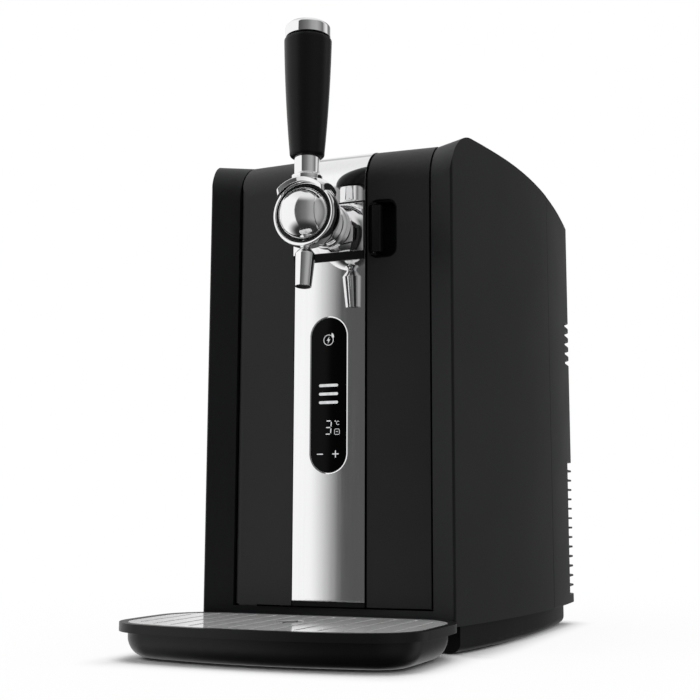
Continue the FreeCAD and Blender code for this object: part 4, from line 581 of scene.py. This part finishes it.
def gripAndCap():
    # radius over height; the grip's side swells a little between its neck and its top
    base = (0.0, tapCentre[1], 0.0)
    low, high, narrow, wide = gripLow[2], gripHigh[2], handle["neck"], handle["top"]
    start = low + handle["start"]
    foot = softLine([(0.0, low), (narrow - handle["flat"], low),
                     (narrow - handle["foot"], low + handle["footRise"], handle["footRound"]),
                     (narrow, start)], 8)
    t = np.linspace(0, 1, 40)[1:]
    radius = narrow + (wide - narrow) * t + handle["swell"] * 4 * t * (1 - t)
    side = np.stack([radius, start + (high - handle["end"] - start) * t], -1)
    edge = np.array([(wide - handle["edge"], high - handle["edge"]), (wide - handle["chamfer"], high),
                     (0.0, high)])
    grip = np.concatenate([foot, side, edge])
    bottom, top = collarLow[2] - handle["overlap"], collarHigh[2] + handle["overlap"]
    collar = np.array([(0.0, bottom), (handle["collar"], bottom), (handle["collar"], top), (0.0, top)])
    wide, bottom, top = button["radius"], capLow[2], capHigh[2]
    cap = softLine([(0.0, bottom), (wide - button["inset"], bottom, button["foot"]),
                    (wide, top - button["side"], button["shoulder"]),
                    (wide - button["crownIn"], top - button["crownDrop"], button["crown"]),
                    (0.0, top)], 12)
    return [joinGrids(name, [(turned(profile, base, "Z", 96), False, True)])
            for name, profile in (("leverGrip", grip), ("leverCollar", collar), ("leverCap", cap))]


dress(stem(), tapChrome, "lever", ["lever_stem"])
dress(saddle(), tapChrome, "lever")
leverGrip, leverCollar, leverCap = gripAndCap()
dress(leverGrip, gripPlastic, "lever", ["lever_grip"])
dress(leverCollar, gripPlastic, "lever", ["lever_collar"])
dress(leverCap, tapChrome, "lever", ["lever_cap"])
print("lever made")


stripLow, stripHigh = boxOf("front_strip")
windowLow, windowHigh = boxOf("display_window")
strip = {"half": stripHigh[0], "low": stripLow[2], "face": stripLow[1], "turn": 36.0,
         "top": stripHigh[2], "back": stripHigh[1], "skin": 1.5, "displayLow": windowLow[2],
         "displayHigh": windowHigh[2], "displayHalf": windowHigh[0] + 0.05, "displayMiddle": 200,
         "margin": 12}


def frontStrip():
    # a flat steel face with the display's opening, that turns over the top towards the back
    half, face, middle = strip["half"], strip["face"], strip["displayMiddle"]
    low, high = strip["displayLow"] - strip["margin"], strip["displayHigh"] + strip["margin"]
    steps = 16
    hole, _ = roundEnded(strip["displayHalf"], strip["displayLow"], strip["displayHigh"], steps)
    # every point of the hole is matched with a point of the rectangle around it: each quarter goes
    # from the middle of one side to the corner, and on to the middle of the next side
    rise = np.append(np.linspace(0, 1, steps // 2), np.ones(steps - steps // 2))
    fall = np.append(np.ones(steps // 2), np.linspace(1, 0, steps - steps // 2))
    quarters = ((half, high, fall, rise), (-half, high, rise, fall), (-half, low, fall, rise),
                (half, low, rise, fall))
    rectangle = np.concatenate([np.stack([side * across, middle + (end - middle) * up], -1)
                                for side, end, across, up in quarters])
    blend = np.linspace(0, 1, 8)[:, None, None]
    ring = hole[None] * (1 - blend) + rectangle[None] * blend
    around = placed(ring[..., 0], face, ring[..., 1])
    x = np.linspace(-half, half, 2 * (steps // 2) - 1)
    foot = np.array([(face, strip["low"]), (face, low)])
    turn = softLine([(face, high), (face, strip["top"], strip["turn"]),
                     (strip["back"], strip["top"])], 32)
    lower, overTop = (placed(x, line[:, :1], line[:, 1:]) for line in (foot, turn))
    piece = joinGrids("frontStrip", [(around[::-1], False, True), (lower, False, False),
                                     (overTop, False, False)])
    addModifier(piece, "SOLIDIFY", "sheet", thickness=strip["skin"] * mm, offset=-1)
    softEdges(piece, 0.35, 50)
    return piece


dress(frontStrip(), mirrorSteel, "door", ["front_strip"])

plateLow, plateHigh = boxOf("band_plate")
band = {"low": plateLow[2], "high": plateHigh[2], "front": plateLow[1],
        "skin": plateHigh[1] - plateLow[1], "columns": 9, "rows": 5}


def bandPlate():
    # a flat plate, given its thickness and softened edges by modifiers
    x = np.linspace(-strip["half"], strip["half"], band["columns"])[:, None]
    points = placed(x, band["front"], np.linspace(band["low"], band["high"], band["rows"]))
    piece = joinGrids("bandPlate", [(points[::-1], False, False)])
    addModifier(piece, "SOLIDIFY", "sheet", thickness=band["skin"] * mm, offset=-1)
    softEdges(piece, 0.3, 50)
    return piece


dress(bandPlate(), mirrorSteel, "door", ["band_plate"])
print("strip and band made")


display = {"half": 16.9, "low": 136.1, "high": 264.4, "face": -78.1, "proud": 0.7, "slope": 0.35,
           "width": 1.1, "round": 0.12, "sunk": 0.3, "gap": 0.05, "glass": -78.3, "crown": 0.25,
           "thick": 2.6, "signs": 0.06, "steps": 40}
display["front"] = display["glass"] - display["signs"]


def displayRim():
    # a thin frame carried round the opening, with a face that slopes inwards
    outline, outward = roundEnded(display["half"], display["low"], display["high"], display["steps"])
    width, proud, soft, sunk = (display[key] for key in ("width", "proud", "round", "sunk"))
    profile = softLine([(-width, sunk), (-width, display["slope"] - proud, soft),
                        (-soft, -proud, soft), (0.0, sunk), (-width, sunk)], 4)
    points = carried(outline, outward, profile[:-1], display["face"])
    return joinGrids("displayRim", [(points, True, True)])


def displayWindow():
    # glass with a slightly crowned face: each ring runs from the middle line out to the edge
    inset = display["width"] + display["gap"]
    radius, low, high = display["half"] - inset, display["low"] + inset, display["high"] - inset
    outline, _ = roundEnded(radius, low, high, display["steps"])
    spine = np.stack([0 * outline[:, 0], np.clip(outline[:, 1], low + radius, high - radius)], -1)
    fill = np.sin(np.linspace(0, 1, 10) * np.pi / 2)
    flat = spine[:, None] + (outline - spine)[:, None] * fill[None, :, None]
    front, rear = display["glass"] + display["crown"] * fill ** 2, display["glass"] + display["thick"]
    face = placed(flat[..., 0], front, flat[..., 1])
    side = placed(outline[:, :1], np.array([front[-1], rear]), outline[:, 1:])
    back = placed(flat[..., 0], rear, flat[..., 1])[:, ::-1]
    return joinGrids("displayWindow", [(face, True, False), (side, True, False), (back, True, False)])


dress(displayRim(), tapChrome, "door", ["display_rim"])
dress(displayWindow(), displayGlass, "door", ["display_window"])


def ribbon(path, width, closed=False):
    # a flat line of even width with round ends; path is in mm across and up
    path = np.asarray(path, float)
    if closed:
        ahead = np.roll(path, -1, 0) - np.roll(path, 1, 0)
        share = np.ones(len(path))
    else:
        pieces = np.linalg.norm(np.diff(path, axis=0), axis=1)
        along = np.concatenate([[0], np.cumsum(pieces)])
        rounding = width / 2 * (1 - np.cos(np.linspace(0, np.pi / 2, 7)))
        places = np.unique(np.concatenate([along, rounding, along[-1] - rounding]))
        places = places[(places >= 0) & (places <= along[-1])]
        path = np.stack([np.interp(places, along, path[:, side]) for side in (0, 1)], -1)
        ends = np.minimum(places, along[-1] - places)
        share = np.sqrt(np.clip(1 - (1 - np.clip(ends / (width / 2), 0, 1)) ** 2, 0, 1))
        ahead = np.gradient(path, axis=0)
    ahead /= np.linalg.norm(ahead, axis=1)[:, None] + 1e-12
    across = np.stack([-ahead[:, 1], ahead[:, 0]], -1) * (share * width / 2)[:, None]
    flat = np.stack([path + across, path - across], axis=1)
    return placed(flat[..., 0], display["front"], flat[..., 1])


def circle(cx, cz, radius, start=0, end=360):
    # angles in degrees, anticlockwise from the right; a full circle leaves out its last point
    angle = np.radians(np.linspace(start, end, 48, endpoint=abs(end - start) < 360))
    return np.stack([cx + radius * np.cos(angle), cz + radius * np.sin(angle)], -1)


figure = {"bottom": 168.3, "middle": 173.6, "top": 178.9, "lean": 0.06, "stroke": 0.85, "gap": 0.7}
openSigns = [(circle(-0.5, 244.8, 4.2, 62, 395), 0.55)]
openSigns += [([(-8.7, z), (8.2, z)], 2.3) for z in (207.7, 200.8, 193.9)]
for z in (figure["bottom"], figure["middle"], figure["top"]):
    shift = (z - figure["middle"]) * figure["lean"]
    openSigns.append(([(-2.2 + shift, z), (1.5 + shift, z)], figure["stroke"]))
for bottom, top in ((figure["bottom"], figure["middle"]), (figure["middle"], figure["top"])):
    ends = [(2.1 + (z - figure["middle"]) * figure["lean"], z + gap)
            for z, gap in ((bottom, figure["gap"]), (top, -figure["gap"]))]
    openSigns.append((ends, figure["stroke"]))
openSigns += [(circle(8.3, 177.1, 1.4, 48, 312), 0.42), ([(6.4, 170.2), (8.4, 170.2)], 0.4),
              ([(-10.2, 152.3), (-4.8, 152.3)], 0.8), ([(3.3, 152.3), (9.0, 152.3)], 0.8),
              ([(6.15, 155.2), (6.15, 149.4)], 0.8)]
keg = [(5.3, 171.6), (5.2, 168.6), (5.8, 167.9), (9.0, 167.9), (9.6, 168.6), (9.5, 171.6),
       (8.9, 172.3), (5.9, 172.3)]
closedSigns = [(circle(5.9, 178.6, 0.45), 0.3), (keg, 0.4)]
bolt = [(0.3, 247.7), (-2.1, 244.3), (-0.7, 244.3), (-1.3, 241.9), (1.1, 245.3), (-0.3, 245.3)]
leaf = [(2.2, 249.6), (1.9, 248.2), (2.6, 246.9), (3.7, 246.2), (4.4, 247.2), (4.1, 248.8),
        (3.3, 249.9), (2.5, 250.6)]


def symbols():
    # lines: ring, three bars, the figure, the unit, a keg, minus and plus; marks: bolt and leaf
    grids = [(ribbon(line, width), False, False) for line, width in openSigns]
    grids += [(ribbon(line, width, True), True, False) for line, width in closedSigns]
    lines = joinGrids("displaySymbols", grids, smooth=False)
    flat = [(x, display["front"], z) for x, z in bolt + leaf]
    faces = [[0, 1, 2, 5], [2, 3, 4, 5], list(range(len(bolt), len(flat)))]
    return lines, meshPiece("displayMarks", np.array(flat) * mm, faces, smooth=False)


for piece in symbols():
    dress(piece, litSymbols, "door")
print("display made")


studio = {"floor": 6.0, "lines": 9, "sunk": 0.0002, "shadow": 0.04, "near": 0.93, "far": 0.5,
          "world": 0.35, "bounce": 0.7,
          "footprint": ((0.0, -0.150, 0.100, 0.058), (0.0, 0.068, 0.110, 0.148)),
          "above": (0.68, 0.96, (0.85, 0.85, 0.85, 1)), "below": (-0.42, -0.85, (0.03, 0.03, 0.03, 1)),
          "around": [(-180, 0.9), (-150, 0.9), (-147, 0.5), (-140, 0.5), (-137, 1.0), (-25.3, 1.0),
                     (-24.0, 0.088), (-5, 0.12), (22, 0.2), (45, 0.36), (70, 0.42), (88, 0.3),
                     (103, 0.15), (120, 0.7), (132, 0.9), (146, 0.22), (165, 0.16), (180, 0.9)]}


def floorMaterial():
    # pale paint with the shadow near the object, white further out, and no mirror image in metal
    material, tree, output = newMaterial("studio floor")
    paint = grain(tree, 3.0, 2.0)
    diffuse = addNode(tree, "ShaderNodeBsdfDiffuse", {
        "Color": tints(tree, paint, (0.93, 0.93, 0.93), (0.95, 0.95, 0.95))}).outputs[0]
    white = addNode(tree, "ShaderNodeEmission", {"Color": (1, 1, 1, 1), "Strength": 1.0}).outputs[0]
    clear = addNode(tree, "ShaderNodeBsdfTransparent").outputs[0]
    dark = addNode(tree, "ShaderNodeBsdfDiffuse", {"Color": (0.02, 0.02, 0.02, 1)}).outputs[0]
    coords = addNode(tree, "ShaderNodeTexCoord").outputs["Object"]
    # distance to the rectangles under the object: the length of max(|p - centre| - half size, 0)
    gaps = []
    for x, y, halfX, halfY in studio["footprint"]:
        size = calcVector(tree, "ABSOLUTE", calcVector(tree, "SUBTRACT", coords, (x, y, 0))[0])[0]
        beyond = calcVector(tree, "SUBTRACT", size, (halfX, halfY, 1))[0]
        outside = calcVector(tree, "MAXIMUM", beyond, (0, 0, 0))[0]
        gaps.append(calcVector(tree, "LENGTH", outside)["Value"])
    away = calc(tree, "MINIMUM", *gaps)
    close = mapped(tree, away, 0.0, studio["shadow"], 0.0, studio["near"],
                   interpolation_type="SMOOTHSTEP")
    wide = mapped(tree, away, studio["shadow"], studio["far"], 0.0, 1 - studio["near"])
    path = addNode(tree, "ShaderNodeLightPath").outputs
    share = calc(tree, "MULTIPLY", path["Is Camera Ray"], calc(tree, "ADD", close, wide))
    mirrored = mixed(tree, path["Is Glossy Ray"], mixed(tree, share, diffuse, white), clear)
    bounced = calc(tree, "MULTIPLY", path["Is Diffuse Ray"], studio["bounce"])
    tree.links.new(mixed(tree, bounced, mirrored, dark), output.inputs["Surface"])
    return material


def studioWorld():
    # white behind the object; in mirrors a pale studio with a dark side at the front right
    world = bpy.data.worlds.new("studio")
    bpy.context.scene.world = world
    world.use_nodes = True
    tree = world.node_tree
    tree.nodes.clear()
    output = tree.nodes.new("ShaderNodeOutputWorld")
    coords = addNode(tree, "ShaderNodeTexCoord")
    parts = addNode(tree, "ShaderNodeSeparateXYZ", {0: coords.outputs["Generated"]}).outputs
    azimuth = calc(tree, "ARCTAN2", parts["X"], calc(tree, "MULTIPLY", parts["Y"], -1.0))
    ramp = addNode(tree, "ShaderNodeValToRGB", {"Fac": mapped(tree, azimuth, -math.pi, math.pi)})
    elements = ramp.color_ramp.elements
    places = [(degrees + 180) / 360 for degrees, level in studio["around"]]
    for place in places[1:-1]:
        elements.new(place)
    for element, place, (degrees, level) in zip(elements, places, studio["around"]):
        element.position = place
        element.color = (level, level, level, 1)
    colour = ramp.outputs["Color"]
    for low, high, tint in (studio["above"], studio["below"]):
        height = mapped(tree, parts["Z"], low, high, interpolation_type="SMOOTHSTEP")
        colour = addNode(tree, "ShaderNodeMixRGB", {0: height, 1: colour, 2: tint}).outputs[0]
    sources = ((colour, 1.0), ((1, 1, 1, 1), studio["world"]), ((1, 1, 1, 1), 1.0))
    mirror, plain, white = (addNode(tree, "ShaderNodeBackground", {0: tint, 1: strength}).outputs[0]
                            for tint, strength in sources)
    path = addNode(tree, "ShaderNodeLightPath").outputs
    seen = mixed(tree, path["Is Glossy Ray"], plain, mirror)
    seen = mixed(tree, path["Is Transmission Ray"], seen, white)
    seen = mixed(tree, path["Is Camera Ray"], seen, white)
    tree.links.new(seen, output.inputs["Surface"])


lamps = {
    "keyLight": {"place": (-1.3, -1.2, 1.5), "aim": (0, 0, 0.25), "size": (1.2, 1.2), "power": 10.0},
    "fillLight": {"place": (1.5, -0.6, 1.4), "aim": (0, 0, 0.25), "size": (1.0, 1.4), "power": 3.0},
    "topLight": {"place": (0, 0.1, 2.2), "aim": (0, 0, 0.2), "size": (1.6, 1.6), "power": 27.0}}


def softbox(name, place, aim, size, power):
    # a rectangular lamp that shows neither in mirrors nor to the camera
    light = bpy.data.lights.new(name, "AREA")
    light.shape = "RECTANGLE"
    light.size, light.size_y = size
    light.energy = power
    holder = bpy.data.objects.new(name, light)
    holder.location = place
    direction = np.array(aim) - np.array(place)
    holder.rotation_euler = (math.atan2(math.hypot(direction[0], direction[1]), -direction[2]), 0.0,
                             math.atan2(direction[1], direction[0]) - math.pi / 2)
    bpy.context.scene.collection.objects.link(holder)
    holder.visible_glossy = False
    holder.visible_camera = False


lines = studio["lines"]
line = np.linspace(-studio["floor"], studio["floor"], lines)
flat = np.stack(np.broadcast_arrays(line[:, None], line, -studio["sunk"]), axis=-1)
floor = meshPiece("studioFloor", flat.reshape(-1, 3), gridFaces(lines, lines)[:, ::-1].tolist(),
                  smooth=False)
floor.data.materials.append(floorMaterial())
studioWorld()
for name, lamp in lamps.items():
    softbox(name, **lamp)

cameraData = bpy.data.cameras.new("camera")
cameraData.sensor_width = 36
cameraData.lens = 61.17
cameraData.shift_x = -0.0436
cameraData.shift_y = -0.0059
cameraData.clip_end = 50
camera = bpy.data.objects.new("camera", cameraData)
camera.location = (0.39726, -0.94997, 0.10305)
camera.rotation_euler = (math.radians(98.144), 0.0, math.radians(22.0))
bpy.context.scene.collection.objects.link(camera)
bpy.context.scene.camera = camera
bpy.context.scene.view_settings.view_transform = "Standard"
print("studio made")
